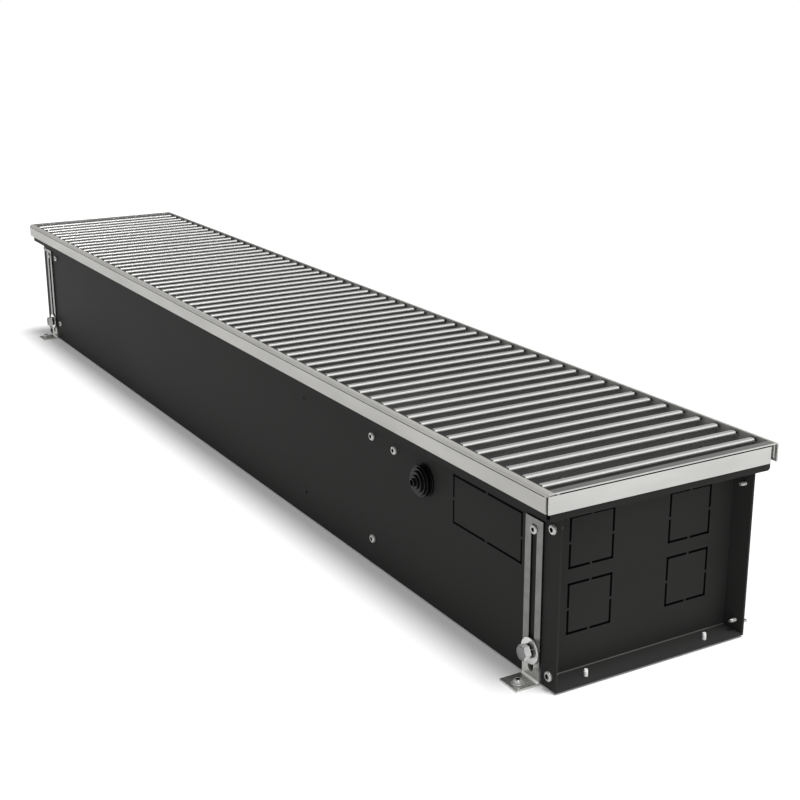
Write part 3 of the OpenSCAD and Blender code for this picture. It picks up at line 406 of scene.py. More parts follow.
finish = {
    "black_coat": powder_coat("black_coat", BLACK_COAT, BLACK_COAT_WORN),
    # The end plates: a lighter copy of the trough's coat, painted light
    "end_coat_lit": powder_coat(
        "end_coat_lit", shade_of(BLACK_COAT, END_COAT_LIGHT_LIFT), shade_of(BLACK_COAT_WORN, END_COAT_LIGHT_LIFT)),
    "bend_highlight_grey": moulded("bend_highlight_grey", BEND_HIGHLIGHT_GREY, roughness=0.4, grain_size=0.0006, relief=0.1),
    "painted_shade_black": moulded(
        "painted_shade_black", SHADE_BLACK, roughness=0.9, grain_size=0.0005, relief=0.1, gloss=0.02),
    "long_profile": drawn_metal(
        "long_profile", PROFILE_GREY, LINES_ALONG_X, roughness=0.42, contrast=0.05, relief=0.05,
        metallic=0.38, cloud=0.16),
    "end_profile": drawn_metal(
        "end_profile", END_PROFILE_GREY, LINES_ALONG_Y, contrast=0.05, relief=0.05, metallic=0.93,
        cloud=0.14),
    "bar": grille_bar(),
    "foot_zinc": foot_metal(),
    # A near-white, hardly metallic strip in each foot's bend: painted highlight
    "foot_bend_highlight": mottled_metal(
        "foot_bend_highlight", FOOT_BEND_HIGHLIGHT, size=0.005, roughness=0.25, contrast=0.05, metallic=0.05),
    "washer_zinc": mottled_metal(
        "washer_zinc", WASHER_ZINC, size=0.006, roughness=0.18, contrast=0.08, metallic=0.85),
    "bolt_zinc": mottled_metal(
        "bolt_zinc", BOLT_ZINC, size=0.004, roughness=0.16, contrast=0.06, metallic=0.15),
    "bolt_face_shade": mottled_metal(
        "bolt_face_shade", BOLT_FACE_SHADE, size=0.004, roughness=0.35, contrast=0.15, metallic=0.8),
    "socket_shade": moulded(
        "socket_shade", SOCKET_SHADE, roughness=0.5, grain_size=0.0004, relief=0.1, gloss=0.3),
    "sheet_zinc": spangled_zinc("sheet_zinc", SHEET_ZINC),
    "screw_zinc": mottled_metal(
        "screw_zinc", SCREW_ZINC, size=0.004, roughness=0.2, contrast=0.08, metallic=0.5),
    "spring_steel": moulded(
        "spring_steel", SPRING_STEEL, roughness=0.4, grain_size=0.0004, relief=0.1, gloss=0.25),
    # Dark plastic spacers, darkened further as painted shade between the bars
    "spacer_shade_grey": moulded(
        "spacer_shade_grey", SPACER_SHADE_GREY, roughness=0.6, grain_size=0.0005, relief=0.1, gloss=0.2),
    "rod_steel": drawn_metal("rod_steel", ROD_STEEL, ROD_LINES),
    "fin_silver": mottled_metal(
        "fin_silver", FIN_SILVER, size=0.02, roughness=0.3, contrast=0.05, metallic=0.5),
    "copper": mottled_metal("copper", COPPER_RED, size=0.02, roughness=0.28),
    "brass": mottled_metal("brass", BRASS_YELLOW, size=0.01, roughness=0.25, contrast=0.08),
    "rubber": moulded("rubber", RUBBER_BLACK, roughness=0.55, grain_size=0.0006, relief=0.2),
    "grommet_rubber": moulded(
        "grommet_rubber", GROMMET_BLACK, roughness=0.3, grain_size=0.0006, relief=0.12, gloss=0.15),
    "black_plastic": moulded("black_plastic", PLASTIC_BLACK, roughness=0.4, grain_size=0.0005, relief=0.15),
    "pale_plastic": moulded("pale_plastic", PLASTIC_PALE, roughness=0.42, grain_size=0.0005, relief=0.15),
    "motor_coat": moulded("motor_coat", MOTOR_BLACK, roughness=0.38, grain_size=0.0008, relief=0.15),
}

NODE_FINISH = {
    "black_coat": ["trough"],
    "end_coat_lit": ["end_plate_near", "end_plate_far"],
    "long_profile": ["frame_front", "frame_rear"],
    "end_profile": ["frame_near", "frame_far"],
    "bar": ["grille_bars"],
    "foot_zinc": [f"foot_{leg}" for leg, *_ in LEGS],
    "sheet_zinc": [
        "partition_near", "partition_far", "exchanger_saddles", "motor_bracket",
        "fan_scroll_near", "fan_scroll_far",
    ],
    "screw_zinc": [
        "side_screws", "bottom_screws", "partition_screws", "clamp_bolts", "clamp_washers", "clamp_nuts",
        "vent_screw", "lid_screws", "box_screw",
        *(f"{kind}_screw_{leg}" for kind in ("lock", "floor") for leg, *_ in LEGS),
    ],
    "spring_steel": ["spring_washers"],
    "rod_steel": ["grille_rods", "fan_shaft"],
    "fin_silver": ["fin_pack"],
    "copper": ["copper_tubes", "far_bends", "near_bend"],
    "brass": ["pipe_connectors", "vent_valve"],
    "rubber": ["grille_pads", "fan_bearings"],
    "grommet_rubber": ["cable_grommet"],
    "spacer_shade_grey": ["grille_spacers"],
    "black_plastic": ["grille_rod_caps", "box_gland", "motor_lead"],
    "pale_plastic": ["control_box", "control_box_lid", "terminal_block", "lead_clips"],
    "motor_coat": ["impeller_near", "impeller_far", "fan_motor"],
}


def paint(obj, material):
    """Gives every face of an object one material."""
    obj.data.materials.clear()
    obj.data.materials.append(material)


for finish_name, node_names in NODE_FINISH.items():
    for node_name in node_names:
        paint(nodes[node_name], finish[finish_name])


# Tools for the new pieces, which are made in millimetres about the origin and then set out

FULL_TURN = 2 * math.pi
SHARP_EDGE = math.radians(32)
ROUND_STEPS = 24
CORNER_STEPS = 5
HEXAGON_SIDES = 6
HEXAGON_CUTS = ROUND_STEPS // HEXAGON_SIDES - 1
MERGE_DISTANCE = 0.0005
THREAD_CREST = 0.25
THREAD_ROOT = 0.75
THREAD_CORE = 0.87
FACING = {
    "up": Matrix.Identity(4),
    "down": Matrix.Rotation(math.pi, 4, "X"),
    "front": Matrix.Rotation(math.radians(90), 4, "X"),
    "rear": Matrix.Rotation(math.radians(-90), 4, "X"),
    "near": Matrix.Rotation(math.radians(90), 4, "Y"),
    "far": Matrix.Rotation(math.radians(-90), 4, "Y"),
}


def at(x, y, z, facing="up", turn=0.0):
    """Where a template goes: its place, the way its top faces and a turn in degrees about its own axis."""
    place = Matrix.Translation((x * MM, y * MM, z * MM))
    return place @ FACING[facing] @ Matrix.Rotation(math.radians(turn), 4, "Z") @ Matrix.Scale(MM, 4)


def set_out(template, places):
    """Puts a copy of a template at each place."""
    data = bpy.data.meshes.new("template")
    template.to_mesh(data)
    template.free()
    mesh = bmesh.new()
    for place in places:
        first_new = len(mesh.verts)
        mesh.from_mesh(data)
        mesh.verts.ensure_lookup_table()
        bmesh.ops.transform(mesh, matrix=place, verts=mesh.verts[first_new:])
    bpy.data.meshes.remove(data)
    return mesh


def finished(name, mesh, body, finishes, instead_of=()):
    """Closes the modelling of a piece: outward faces, soft shading, finishes, body, and hiding the nodes it
    stands in for.
    """
    bmesh.ops.recalc_face_normals(mesh, faces=mesh.faces)
    data = bpy.data.meshes.new(name)
    mesh.to_mesh(data)
    mesh.free()
    data.shade_smooth()
    data.set_sharp_from_angle(angle=SHARP_EDGE)
    for finish_name in finishes:
        data.materials.append(finish[finish_name])
    piece = bpy.data.objects.new(name, data)
    bpy.context.scene.collection.objects.link(piece)
    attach(piece, body)
    if instead_of:
        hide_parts(*instead_of)


def turned(mesh, outline, steps, closed=False):
    """Turns an outline of radii and heights round the Z axis, as on a lathe."""
    points = [mesh.verts.new((radius, 0.0, height)) for radius, height in outline]
    ends = [(points[-1], points[0])] if closed else []
    edges = [mesh.edges.new(pair) for pair in [*zip(points, points[1:]), *ends]]
    bmesh.ops.spin(mesh, geom=points + edges, cent=(0, 0, 0), axis=(0, 0, 1), angle=FULL_TURN, steps=steps,
                   use_merge=True)
    bmesh.ops.remove_doubles(mesh, verts=mesh.verts, dist=MERGE_DISTANCE)


def circle(mesh, radius, height, segments=ROUND_STEPS):
    """A level circle's ring of edges."""
    older = set(mesh.edges)
    bmesh.ops.create_circle(mesh, radius=radius, segments=segments, matrix=Matrix.Translation((0, 0, height)))
    return [edge for edge in mesh.edges if edge not in older]


def hexagon(mesh, across_flats, height):
    """A level hexagon's ring of edges, as many as a circle has."""
    older = set(mesh.edges)
    sides = circle(mesh, across_flats / math.sqrt(3), height, HEXAGON_SIDES)
    bmesh.ops.subdivide_edges(mesh, edges=sides, cuts=HEXAGON_CUTS)
    return [edge for edge in mesh.edges if edge not in older]


def extruded(mesh, ring):
    """Extrudes a ring of edges in place: the new ring's vertices and edges, and the new faces."""
    made = bmesh.ops.extrude_edge_only(mesh, edges=ring)["geom"]
    verts = [item for item in made if isinstance(item, bmesh.types.BMVert)]
    faces = [item for item in made if isinstance(item, bmesh.types.BMFace)]
    new = set(verts)
    edges = [item for item in made if isinstance(item, bmesh.types.BMEdge) and new.issuperset(item.verts)]
    return verts, edges, faces


def drawn_down(mesh, ring, depth):
    """Extrudes a ring of edges downwards, and returns the new ring."""
    verts, edges, _ = extruded(mesh, ring)
    bmesh.ops.translate(mesh, verts=verts, vec=(0, 0, -depth))
    return edges


def closed_over(mesh, ring):
    """Fills a ring of edges with a face."""
    older = set(mesh.faces)
    bmesh.ops.contextual_create(mesh, geom=ring)
    return [face for face in mesh.faces if face not in older]


def second_finish(faces):
    """Gives faces the second of their piece's finishes."""
    for face in faces:
        face.material_index = 1


def thread(radius, start, stop, pitch):
    """The outline of a shank's thread, from its start down to its stop."""
    points = []
    height = start
    while height - pitch > stop:
        points.append((radius, height - pitch * THREAD_CREST))
        points.append((radius * THREAD_CORE, height - pitch * THREAD_ROOT))
        height -= pitch
    return points


def rounded_bar(mesh, low, high, edge):
    """A bar between two corners, with rounded edges."""
    verts = bmesh.ops.create_cube(mesh, size=1.0)["verts"]
    low, high = Vector(low), Vector(high)
    bmesh.ops.scale(mesh, vec=high - low, verts=verts)
    bmesh.ops.translate(mesh, vec=(low + high) / 2, verts=verts)
    edges = list({line for vert in verts for line in vert.link_edges})
    bmesh.ops.bevel(mesh, geom=edges, offset=edge, affect="EDGES", segments=2, profile=0.5, material=-1)


# Socket screws: shares of the head's radius or height, of the shank's radius and of the washer's height

HEAD_MOUTH = 0.64
HEAD_SHOULDER = 0.3
SOCKET_FLATS = 0.92
SOCKET_MOUTH = 0.97
SOCKET_DEPTH = 0.72
SCREW_PITCH = 0.4
SCREW_TIP = 0.8
WASHER_BORE = 1.1
WASHER_CLEAR = 0.96
WASHER_CHAMFER = 0.3
WASHER_STEPS = 48


def socket_screw(head_radius, head_height, shank_radius, shank_length, washer_height=0.0, washer_radius=0.0):
    """A domed screw with a hexagonal socket: its seat at the origin, its head up, over its washer if any."""
    mesh = bmesh.new()
    mouth_radius = head_radius * HEAD_MOUTH
    dome = []
    for step in range(CORNER_STEPS + 1):
        angle = math.pi / 2 * step / CORNER_STEPS
        height = head_height * (HEAD_SHOULDER + (1 - HEAD_SHOULDER) * math.cos(angle))
        dome.append((mouth_radius + (head_radius - mouth_radius) * math.sin(angle), washer_height + height))
    pitch = shank_radius * SCREW_PITCH
    tip = -shank_length
    shank = [
        (head_radius, washer_height), (shank_radius, washer_height),
        *thread(shank_radius, washer_height - pitch, tip + pitch, pitch),
        (shank_radius * SCREW_TIP, tip), (0.0, tip),
    ]
    turned(mesh, dome + shank, ROUND_STEPS)
    head_ring = [edge for edge in mesh.edges if edge.is_boundary]
    mouth = hexagon(mesh, head_radius * SOCKET_FLATS, washer_height + head_height * SOCKET_MOUTH)
    bmesh.ops.bridge_loops(mesh, edges=head_ring + mouth)
    # The socket's walls and floor take the second finish, near black: painted shade
    older = set(mesh.faces)
    floor = drawn_down(mesh, mouth, head_height * SOCKET_DEPTH)
    closed_over(mesh, floor)
    second_finish(face for face in mesh.faces if face not in older)
    if washer_radius:
        flat_washer(mesh, shank_radius * WASHER_BORE, washer_radius, washer_height * WASHER_CLEAR,
                    washer_height * WASHER_CHAMFER)
    return mesh


def flat_washer(mesh, inner, outer, thickness, chamfer):
    """A flat washer on its seat, its outer edges chamfered."""
    turned(mesh, [
        (inner, 0.0), (outer - chamfer, 0.0), (outer, chamfer), (outer, thickness - chamfer),
        (outer - chamfer, thickness), (inner, thickness),
    ], WASHER_STEPS, closed=True)


# Where the screws sit, and each kind's head radius and height, shank radius and length, and washer

SIDE_SCREW = (4.7, 2.6, 2.0, 8.5)
SIDE_SCREW_X = 732.99
SIDE_SCREW_Z = (151.5, 14.4)
BOTTOM_SCREW = (4.7, 1.8, 2.0, 8.5)
BOTTOM_SCREW_X = 733.3
BOTTOM_SCREW_Y = 69.0
BOTTOM_SCREW_Z = 2.0
INNER_SCREW = (4.7, 2.6, 2.0, 7.0)
PARTITION_SCREW_X = (421.4, -675.0)
PARTITION_SCREW_Z = (144.1, 30.6)
BOX_SCREW_X = 466.95
BOX_SCREW_Z = 142.3
LOCK_SCREW = (4.4, 1.7, 2.5, 2.0)
LOCK_SCREW_Z = 143.35
FLOOR_SCREW = (4.3, 3.4, 2.5, 2.0, 1.2, 6.0)
FLOOR_SCREW_X = 711.09
FLOOR_SCREW_Y = 126.51

# Turns in degrees, uneven as a fitter leaves them: the first, and what a row or an end adds
SIDE_TURN, SIDE_ROW_TURN, SIDE_END_TURN = 17, 40, 25
PARTITION_TURN, PARTITION_ROW_TURN = 9, 31
BOTTOM_TURN = 13
BOX_TURN = 22
LOCK_TURN = 24
FLOOR_TURN = 11

finished("side_socket_screws", set_out(socket_screw(*SIDE_SCREW), [
    at(end * SIDE_SCREW_X, side * WALL_FACE, z, facing, SIDE_TURN + SIDE_ROW_TURN * row + SIDE_END_TURN * end)
    for facing, side in SIDES.items() for end in ENDS.values() for row, z in enumerate(SIDE_SCREW_Z)
]), "root", ["screw_zinc", "socket_shade"], ["side_screws"])

finished("bottom_socket_screws", set_out(socket_screw(*BOTTOM_SCREW), [
    at(end * BOTTOM_SCREW_X, side * BOTTOM_SCREW_Y, BOTTOM_SCREW_Z, "down", BOTTOM_TURN * side)
    for side in SIDES.values() for end in ENDS.values()
]), "root", ["bolt_zinc", "socket_shade"], ["bottom_screws"])

finished("partition_socket_screws", set_out(socket_screw(*INNER_SCREW), [
    at(x, side * WALL_FACE, z, facing, PARTITION_TURN + PARTITION_ROW_TURN * row)
    for facing, side in SIDES.items() for x in PARTITION_SCREW_X for row, z in enumerate(PARTITION_SCREW_Z)
]), "root", ["screw_zinc", "socket_shade"], ["partition_screws"])

finished("box_socket_screw", set_out(socket_screw(*INNER_SCREW), [
    at(BOX_SCREW_X, -WALL_FACE, BOX_SCREW_Z, "front", BOX_TURN),
]), "root", ["screw_zinc", "socket_shade"], ["box_screw"])

for leg, facing, side, end in LEGS:
    finished(f"lock_socket_screw_{leg}", set_out(socket_screw(*LOCK_SCREW), [
        at(end * LEG_X, side * FOOT_FACE, LOCK_SCREW_Z, facing, LOCK_TURN),
    ]), f"leg_{leg}", ["screw_zinc", "socket_shade"], [f"lock_screw_{leg}"])
    finished(f"floor_socket_screw_{leg}", set_out(socket_screw(*FLOOR_SCREW), [
        at(end * FLOOR_SCREW_X, side * FLOOR_SCREW_Y, TAB_TOP, turn=FLOOR_TURN),
    ]), f"leg_{leg}", ["screw_zinc", "socket_shade"], [f"floor_screw_{leg}"])


# Clamp bolts with their washers and nuts

CLAMP_Z = 29.0
WASHER_SEAT = 111.3
SPRING_SEAT = 113.3
BOLT_SEAT = 115.9
NUT_SEAT = 101.7
BOLT_FLATS = 13.0
BOLT_HEAD = 6.5
BOLT_CHAMFER_RADIUS = BOLT_FLATS * 0.46
BOLT_CHAMFER_SLOPE = math.tan(math.radians(30))
BOLT_RADIUS = 4.0
BOLT_SHANK = 16.2
BOLT_PLAIN_SHANK = 4.0
BOLT_PITCH = 1.25
BOLT_TIP = 1.2
BOLT_TIP_RADIUS = BOLT_RADIUS * 0.78
NUT_BORE = BOLT_RADIUS * 1.04
NUT_BORE_TOP = BOLT_HEAD - 0.4
CORNERS_SIDEWAYS = 30.0

# The washers' inner and outer radius and thickness, then the flat one's chamfer or the split one's rise
LARGE_WASHER = (4.4, 12.5, 1.98, 0.35)
SPLIT_WASHER = (4.3, 6.8, 2.2, 0.35)
SPLIT_BEND = math.radians(348)
SPLIT_STEPS = 40
SPLIT_TURN = 40


def hexagonal_head(mesh, across_flats, height, chamfer_radius):
    """A hexagonal block from zero up, its top corners turned away: the rings of its open top and bottom."""
    top = hexagon(mesh, across_flats, height)
    for vert in {vert for edge in top for vert in edge.verts}:
        beyond = max(0.0, math.hypot(vert.co.x, vert.co.y) - chamfer_radius)
        vert.co.z -= beyond * BOLT_CHAMFER_SLOPE
    face_ring = circle(mesh, chamfer_radius, height)
    # The chamfer faces take the second finish, which on the bolt is painted shade
    second_finish(bmesh.ops.bridge_loops(mesh, edges=top + face_ring)["faces"])
    lower, lower_ring, flanks = extruded(mesh, top)
    for flank in flanks:
        flank.material_index = 0
    for vert in lower:
        vert.co.z = 0.0
    return face_ring, lower_ring


def hexagon_bolt():
    """A bolt with its seat at the origin and its head up: the head's face and chamfer are darker, painted
    shade.
    """
    mesh = bmesh.new()
    face_ring, lower_ring = hexagonal_head(mesh, BOLT_FLATS, BOLT_HEAD, BOLT_CHAMFER_RADIUS)
    # The head's flat face takes the second finish: painted shade
    second_finish(closed_over(mesh, face_ring))
    shank = bmesh.new()
    turned(shank, [
        (BOLT_RADIUS, 0.0), *thread(BOLT_RADIUS, -BOLT_PLAIN_SHANK, -BOLT_SHANK + BOLT_TIP, BOLT_PITCH),
        (BOLT_TIP_RADIUS, -BOLT_SHANK), (0.0, -BOLT_SHANK),
    ], ROUND_STEPS)
    data = bpy.data.meshes.new("shank")
    shank.to_mesh(data)
    shank.free()
    known = set(mesh.edges)
    mesh.from_mesh(data)
    bpy.data.meshes.remove(data)
    shank_ring = [edge for edge in mesh.edges if edge not in known and edge.is_boundary]
    bmesh.ops.bridge_loops(mesh, edges=lower_ring + shank_ring)
    return mesh


def hexagon_nut():
    """A nut with its seat at the origin, chamfered at its free face."""
    mesh = bmesh.new()
    face_ring, lower_ring = hexagonal_head(mesh, BOLT_FLATS, BOLT_HEAD, BOLT_CHAMFER_RADIUS)
    mouth = circle(mesh, NUT_BORE, NUT_BORE_TOP)
    bmesh.ops.bridge_loops(mesh, edges=face_ring + mouth)
    lower_mouth = drawn_down(mesh, mouth, NUT_BORE_TOP)
    bmesh.ops.bridge_loops(mesh, edges=lower_ring + lower_mouth)
    return mesh


def split_washer(inner, outer, height, rise):
    """A spring washer: a square wire bent round once, with a cut between its ends."""
    mesh = bmesh.new()
    corners = [(inner, 0.0), (outer, 0.0), (outer, height), (inner, height)]
    points = [mesh.verts.new((radius, 0.0, z)) for radius, z in corners]
    edges = [mesh.edges.new(pair) for pair in zip(points, points[1:] + points[:1])]
    bmesh.ops.spin(mesh, geom=points + edges, cent=(0, 0, 0), axis=(0, 0, 1), dvec=(0, 0, rise / SPLIT_STEPS),
                   angle=SPLIT_BEND, steps=SPLIT_STEPS)
    bmesh.ops.holes_fill(mesh, edges=mesh.edges, sides=len(corners))
    return mesh


def clamp_places(depth, turn=0.0):
    """The four clamps, at a depth from the heater's middle plane."""
    return [at(end * LEG_X, side * depth, CLAMP_Z, facing, turn) for _, facing, side, end in LEGS]


finished("clamp_hexagon_bolts", set_out(hexagon_bolt(), clamp_places(BOLT_SEAT, CORNERS_SIDEWAYS)),
         "root", ["bolt_zinc", "bolt_face_shade"], ["clamp_bolts"])
finished("clamp_hexagon_nuts", set_out(hexagon_nut(), clamp_places(NUT_SEAT, CORNERS_SIDEWAYS)),
         "root", ["screw_zinc", "screw_zinc"], ["clamp_nuts"])
finished("clamp_split_washers", set_out(split_washer(*SPLIT_WASHER), clamp_places(SPRING_SEAT, SPLIT_TURN)),
         "root", ["spring_steel"], ["spring_washers"])
large_washer = bmesh.new()
flat_washer(large_washer, *LARGE_WASHER)
finished("clamp_large_washers", set_out(large_washer, clamp_places(WASHER_SEAT)),
         "root", ["washer_zinc"], ["clamp_washers"])


# Black end caps on the grille's bars: painted shade for the dark marks at the bars' ends

BAR_COUNT = 61
BAR_PITCH = 24.22
FIRST_BAR_X = -727.9
BAR_END_Y = 121.0
BAR_TOP = 191.1
BAR_CAP_HALF = 3.5
BAR_CAP_UNDERSIDE = 188.5
END_CAP_LENGTH = 2.2
END_CAP_SKIN = 0.12
END_CAP_REACH = 4 * END_CAP_SKIN
END_CAP_EDGE = 0.5


def bar_end_shade_cap():
    """A black shell round the end of one bar's cap, painted shade at the bar's end; the bar's end at the
    origin and pointing to +Y.
    """
    mesh = bmesh.new()
    rounded_bar(
        mesh,
        (-BAR_CAP_HALF - END_CAP_SKIN, -END_CAP_LENGTH, BAR_CAP_UNDERSIDE - END_CAP_SKIN),
        (BAR_CAP_HALF + END_CAP_SKIN, END_CAP_REACH, BAR_TOP + END_CAP_SKIN),
        END_CAP_EDGE,
    )
    return mesh


finished("bar_end_shade_caps", set_out(bar_end_shade_cap(), [
    at(FIRST_BAR_X + number * BAR_PITCH, side * BAR_END_Y, 0, turn=0 if side > 0 else 180)
    for side in SIDES.values() for number in range(BAR_COUNT)
]), "grille", ["black_plastic"])


# Black strips in the frame's grooves, painted shade for the shadow lines there: two corners and the rounding
# of the front one and of the near one

GROOVE_SHADE_STRIP = ((-748.5, -128.7, 187.85), (744.9, -128.27, 188.65), 0.06)
END_SHADE_STRIP = ((749.4, -116.0, 189.6), (750.15, 118.0, 190.9), 0.1)

for shade_strip_name, shade_strip_bar, turn in (
        ("groove_shade_strip_front", GROOVE_SHADE_STRIP, 0), ("groove_shade_strip_rear", GROOVE_SHADE_STRIP, 180),
        ("end_shade_strip_near", END_SHADE_STRIP, 0), ("end_shade_strip_far", END_SHADE_STRIP, 180)):
    shade_strip = bmesh.new()
    rounded_bar(shade_strip, *shade_strip_bar)
    finished(shade_strip_name, set_out(shade_strip, [at(0, 0, 0, turn=turn)]), "root", ["painted_shade_black"])


# Knock-outs: black fillings in their cuts and a black pad behind them that keeps light out, painted shade
# that makes the cuts read as dark lines

SHEET = 1.0
END_KNOCKOUT_Y = 56.0
END_KNOCKOUT_Z = (64.5, 127.3)
END_KNOCKOUT = (49.2, 49.2)
SIDE_KNOCKOUT_X = 632.5
SIDE_KNOCKOUT_Z = 127.3
SIDE_KNOCKOUT = (112.0, 49.2)
CUT = 2.0
BRIDGE = 2.6
CUT_SHADE_LAP = 0.15
CUT_SHADE_PROUD = 0.06
CUT_SHADE_BOTTOM = -SHEET / 2
CUT_SHADE_EDGE = 0.05
BACK_SHADE = 0.5
BACK_SHADE_LAP = 3.4
BACK_SHADE_GAP = 0.1
BACK_SHADE_TOP = -SHEET - BACK_SHADE_GAP
BACK_SHADE_EDGE = 0.15


def cut_shade_bar(mesh, across, up):
    """One straight run of the black cut filling, painted shade, between two places across the knock-out and
    two up it.
    """
    left, right = sorted(across)
    lower, upper = sorted(up)
    rounded_bar(mesh, (left, lower, CUT_SHADE_BOTTOM), (right, upper, CUT_SHADE_PROUD), CUT_SHADE_EDGE)


def knockout_cut_shade(width, height):
    """The black filling of a knock-out's cut, painted shade, which stops at the four bridges; the sheet's
    face is at zero.
    """
    mesh = bmesh.new()
    half_width = width / 2 + CUT_SHADE_LAP
    half_height = height / 2 + CUT_SHADE_LAP
    band = CUT + 2 * CUT_SHADE_LAP
    gap = BRIDGE / 2
    for side in (-1, 1):
        for end in (-1, 1):
            cut_shade_bar(mesh, (side * gap, side * half_width), (end * (half_height - band), end * half_height))
            cut_shade_bar(mesh, (side * (half_width - band), side * half_width), (end * gap, end * half_height))
    return mesh


def knockout_back_shade(width, height):
    """A black pad behind a knock-out, painted shade seen through the cut; the sheet's outer face is at zero.
    """
    mesh = bmesh.new()
    rounded_bar(mesh, (-width / 2 - BACK_SHADE_LAP, -height / 2 - BACK_SHADE_LAP, BACK_SHADE_TOP - BACK_SHADE),
                (width / 2 + BACK_SHADE_LAP, height / 2 + BACK_SHADE_LAP, BACK_SHADE_TOP), BACK_SHADE_EDGE)
    return mesh


def knockout_fillings(kind, wall_name, knockout, places):
    """The black cut fillings and back pads of one wall's knock-outs: painted shade."""
    for filling_name, template in (("cut_shade", knockout_cut_shade), ("back_shade", knockout_back_shade)):
        finished(f"{kind}_knockout_{filling_name}_{wall_name}", set_out(template(*knockout), places),
                 "root", ["painted_shade_black"])


for end_name, end in ENDS.items():
    knockout_fillings("end", end_name, END_KNOCKOUT, [
        at(end * END_FACE, y, z, end_name) for y in (-END_KNOCKOUT_Y, END_KNOCKOUT_Y) for z in END_KNOCKOUT_Z
    ])
for side_name, side in SIDES.items():
    knockout_fillings("side", side_name, SIDE_KNOCKOUT, [
        at(SIDE_KNOCKOUT_X, side * WALL_FACE, SIDE_KNOCKOUT_Z, side_name),
    ])


# The round inside the end plates' lower bend, coloured lighter than their coat as a painted highlight, and
# the bright round inside each foot's bend, a near-white painted highlight

BEND_Z = 4.0
BEND_RADIUS = 0.8
BEND_LENGTH = 214.0
FOOT_BEND_RADIUS = 1.64
FOOT_BEND_SHORTER = 0.4


def inside_bend(radius, length):
    """A hollow-faced strip along Y for the corner of a folded sheet, its corner at the origin."""
    mesh = bmesh.new()
    start = -length / 2
    section = [mesh.verts.new((0, start, 0))]
    for step in range(CORNER_STEPS + 1):
        angle = math.pi / 2 * step / CORNER_STEPS
        out, up = radius * (1 - math.sin(angle)), radius * (1 - math.cos(angle))
        section.append(mesh.verts.new((out, start, up)))
    face = mesh.faces.new(section)
    made = bmesh.ops.extrude_face_region(mesh, geom=[face], use_keep_orig=True)["geom"]
    other_end = [item for item in made if isinstance(item, bmesh.types.BMVert)]
    bmesh.ops.translate(mesh, verts=other_end, vec=(0, length, 0))
    return mesh


# A lighter grey strip in each end plate's lower bend: painted highlight
for end_name, end in ENDS.items():
    finished(f"end_bend_{end_name}", set_out(inside_bend(BEND_RADIUS, BEND_LENGTH), [
        at(end * END_FACE, 0, BEND_Z, turn=0 if end > 0 else 180),
    ]), "root", ["bend_highlight_grey"])

# A near-white strip in each foot's bend: painted highlight
for leg, _, side, _ in LEGS:
    foot_low, foot_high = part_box(f"foot_{leg}")
    foot_middle = (foot_low[0] + foot_high[0]) / 2 / MM
    foot_width = (foot_high[0] - foot_low[0]) / MM
    finished(f"foot_bend_highlight_{leg}", set_out(inside_bend(FOOT_BEND_RADIUS, foot_width - FOOT_BEND_SHORTER), [
        at(foot_middle, side * FOOT_FACE, TAB_TOP, turn=90 * side),
    ]), f"leg_{leg}", ["foot_bend_highlight"])


# The fins between the source's fins, close together as in a real exchanger

FIN_STEP = 3.0
FIN_THICKNESS = 0.2
FIN_RIPPLE = 0.35
FIN_RIPPLES = 10
HALF_GRID = 0.5


def rippled_fin(low, high):
    """A thin rippled sheet across the exchanger, at x = 0."""
    mesh = bmesh.new()
    bmesh.ops.create_grid(mesh, x_segments=FIN_RIPPLES, y_segments=1, size=HALF_GRID)
    for vert in mesh.verts:
        along = vert.co.x + HALF_GRID
        up = vert.co.y + HALF_GRID
        ripple = FIN_RIPPLE * math.cos(along * FIN_RIPPLES * math.pi)
        vert.co = Vector((ripple, low[1] + along * (high[1] - low[1]), low[2] + up * (high[2] - low[2])))
    bmesh.ops.solidify(mesh, geom=mesh.faces[:], thickness=FIN_THICKNESS)
    return mesh


pack_low, pack_high = ([value / MM for value in corner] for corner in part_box("fin_pack"))
fin_places = []
fin_x = pack_low[0] + FIN_STEP / 2
while fin_x < pack_high[0]:
    fin_places.append(at(fin_x, 0, 0))
    fin_x += FIN_STEP
finished("fine_fins", set_out(rippled_fin(pack_low, pack_high), fin_places), "root", ["fin_silver"])


# Floor, light and camera

FLOOR_SIZE = 40.0
FLOOR_GREY = (0.8, 0.8, 0.8)
FLOOR_GLOW = 0.1
SKY_DIM = 0.15
SKY_BRIGHT = 0.75
SKY_SPAN = (-0.8, 0.3)
SUN_FROM = Vector((0.2, 0.07, 1.0))
SUN_SPREAD = math.radians(16.0)
SUN_STRENGTH = 2.7


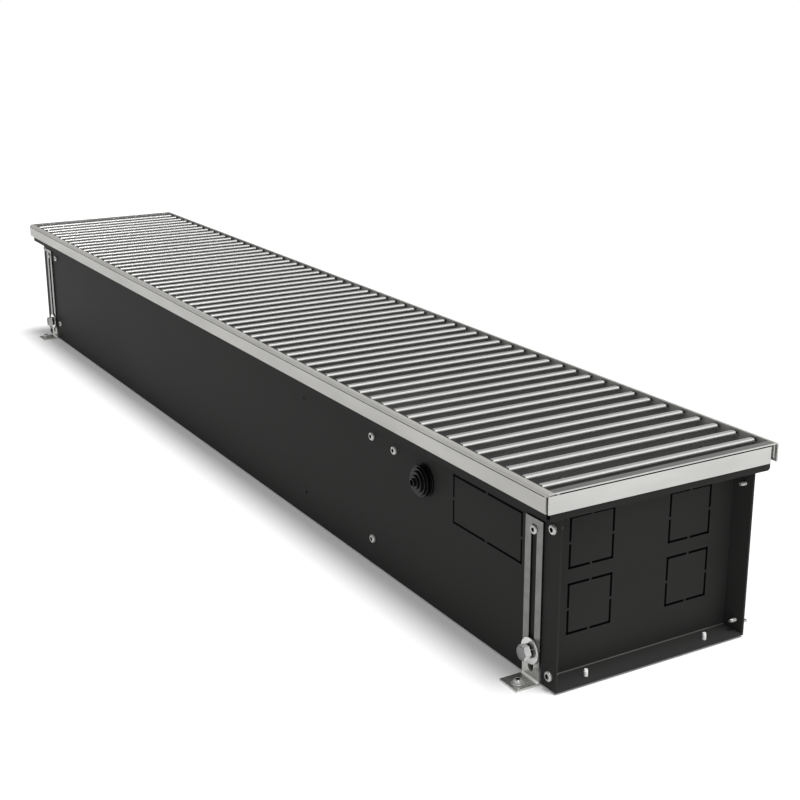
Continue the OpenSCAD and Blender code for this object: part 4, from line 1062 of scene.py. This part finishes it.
def white_floor():
    """A pale floor that keeps the heater's shadow and reads white where nothing shades it."""
    mesh = bmesh.new()
    bmesh.ops.create_grid(mesh, x_segments=1, y_segments=1, size=FLOOR_SIZE / 2)
    data = bpy.data.meshes.new("floor")
    mesh.to_mesh(data)
    mesh.free()
    floor = bpy.data.objects.new("floor", data)
    bpy.context.scene.collection.objects.link(floor)
    material, tree, shader = new_material("floor", FLOOR_GREY, 0.0, 1.0)
    shader.inputs["Specular IOR Level"].default_value = 0.0
    shader.inputs["Emission Color"].default_value = WHITE
    path = tree.nodes.new("ShaderNodeLightPath")
    seen = tree.nodes.new("ShaderNodeMath")
    seen.operation = "MAXIMUM"
    tree.links.new(path.outputs["Is Camera Ray"], seen.inputs[0])
    tree.links.new(path.outputs["Is Glossy Ray"], seen.inputs[1])
    glow = tree.nodes.new("ShaderNodeMath")
    glow.operation = "MULTIPLY"
    glow.inputs[1].default_value = FLOOR_GLOW
    tree.links.new(seen.outputs["Value"], glow.inputs[0])
    tree.links.new(glow.outputs["Value"], shader.inputs["Emission Strength"])
    paint(floor, material)


def studio_sky():
    """White behind the heater, and a grey that brightens towards +X for what it lights."""
    world = bpy.data.worlds.new("studio")
    bpy.context.scene.world = world
    world.use_nodes = True
    tree = world.node_tree
    background = tree.nodes["Background"]
    coordinates = tree.nodes.new("ShaderNodeTexCoord")
    split = tree.nodes.new("ShaderNodeSeparateXYZ")
    tree.links.new(coordinates.outputs["Generated"], split.inputs["Vector"])
    grey = range_of(tree, split.outputs["X"], SKY_DIM, SKY_BRIGHT, *SKY_SPAN)
    path = tree.nodes.new("ShaderNodeLightPath")
    mix = tree.nodes.new("ShaderNodeMix")
    mix.data_type = "FLOAT"
    mix.inputs["B"].default_value = 1.0
    tree.links.new(path.outputs["Is Camera Ray"], mix.inputs["Factor"])
    tree.links.new(grey, mix.inputs["A"])
    background.inputs["Color"].default_value = WHITE
    tree.links.new(mix.outputs["Result"], background.inputs["Strength"])


def broad_sun():
    """A wide soft light from nearly straight above."""
    data = bpy.data.lights.new("sun", "SUN")
    data.energy = SUN_STRENGTH
    data.angle = SUN_SPREAD
    lamp = bpy.data.objects.new("sun", data)
    lamp.rotation_euler = (-SUN_FROM).to_track_quat("-Z", "Y").to_euler()
    bpy.context.scene.collection.objects.link(lamp)


def photo_camera():
    """The camera at the photograph's place and angle."""
    data = bpy.data.cameras.new("camera")
    data.lens = CAMERA_LENS
    data.sensor_width = CAMERA_SENSOR
    data.clip_start = CAMERA_NEAREST
    camera = bpy.data.objects.new("camera", data)
    camera.location = CAMERA_PLACE
    facing = (CAMERA_AIM - CAMERA_PLACE).to_track_quat("-Z", "Y").to_matrix()
    camera.rotation_euler = (facing @ Matrix.Rotation(CAMERA_ROLL, 3, "Z")).to_euler()
    bpy.context.scene.collection.objects.link(camera)
    bpy.context.scene.camera = camera


white_floor()
studio_sky()
broad_sun()
photo_camera()
bpy.context.scene.view_settings.view_transform = "Standard"
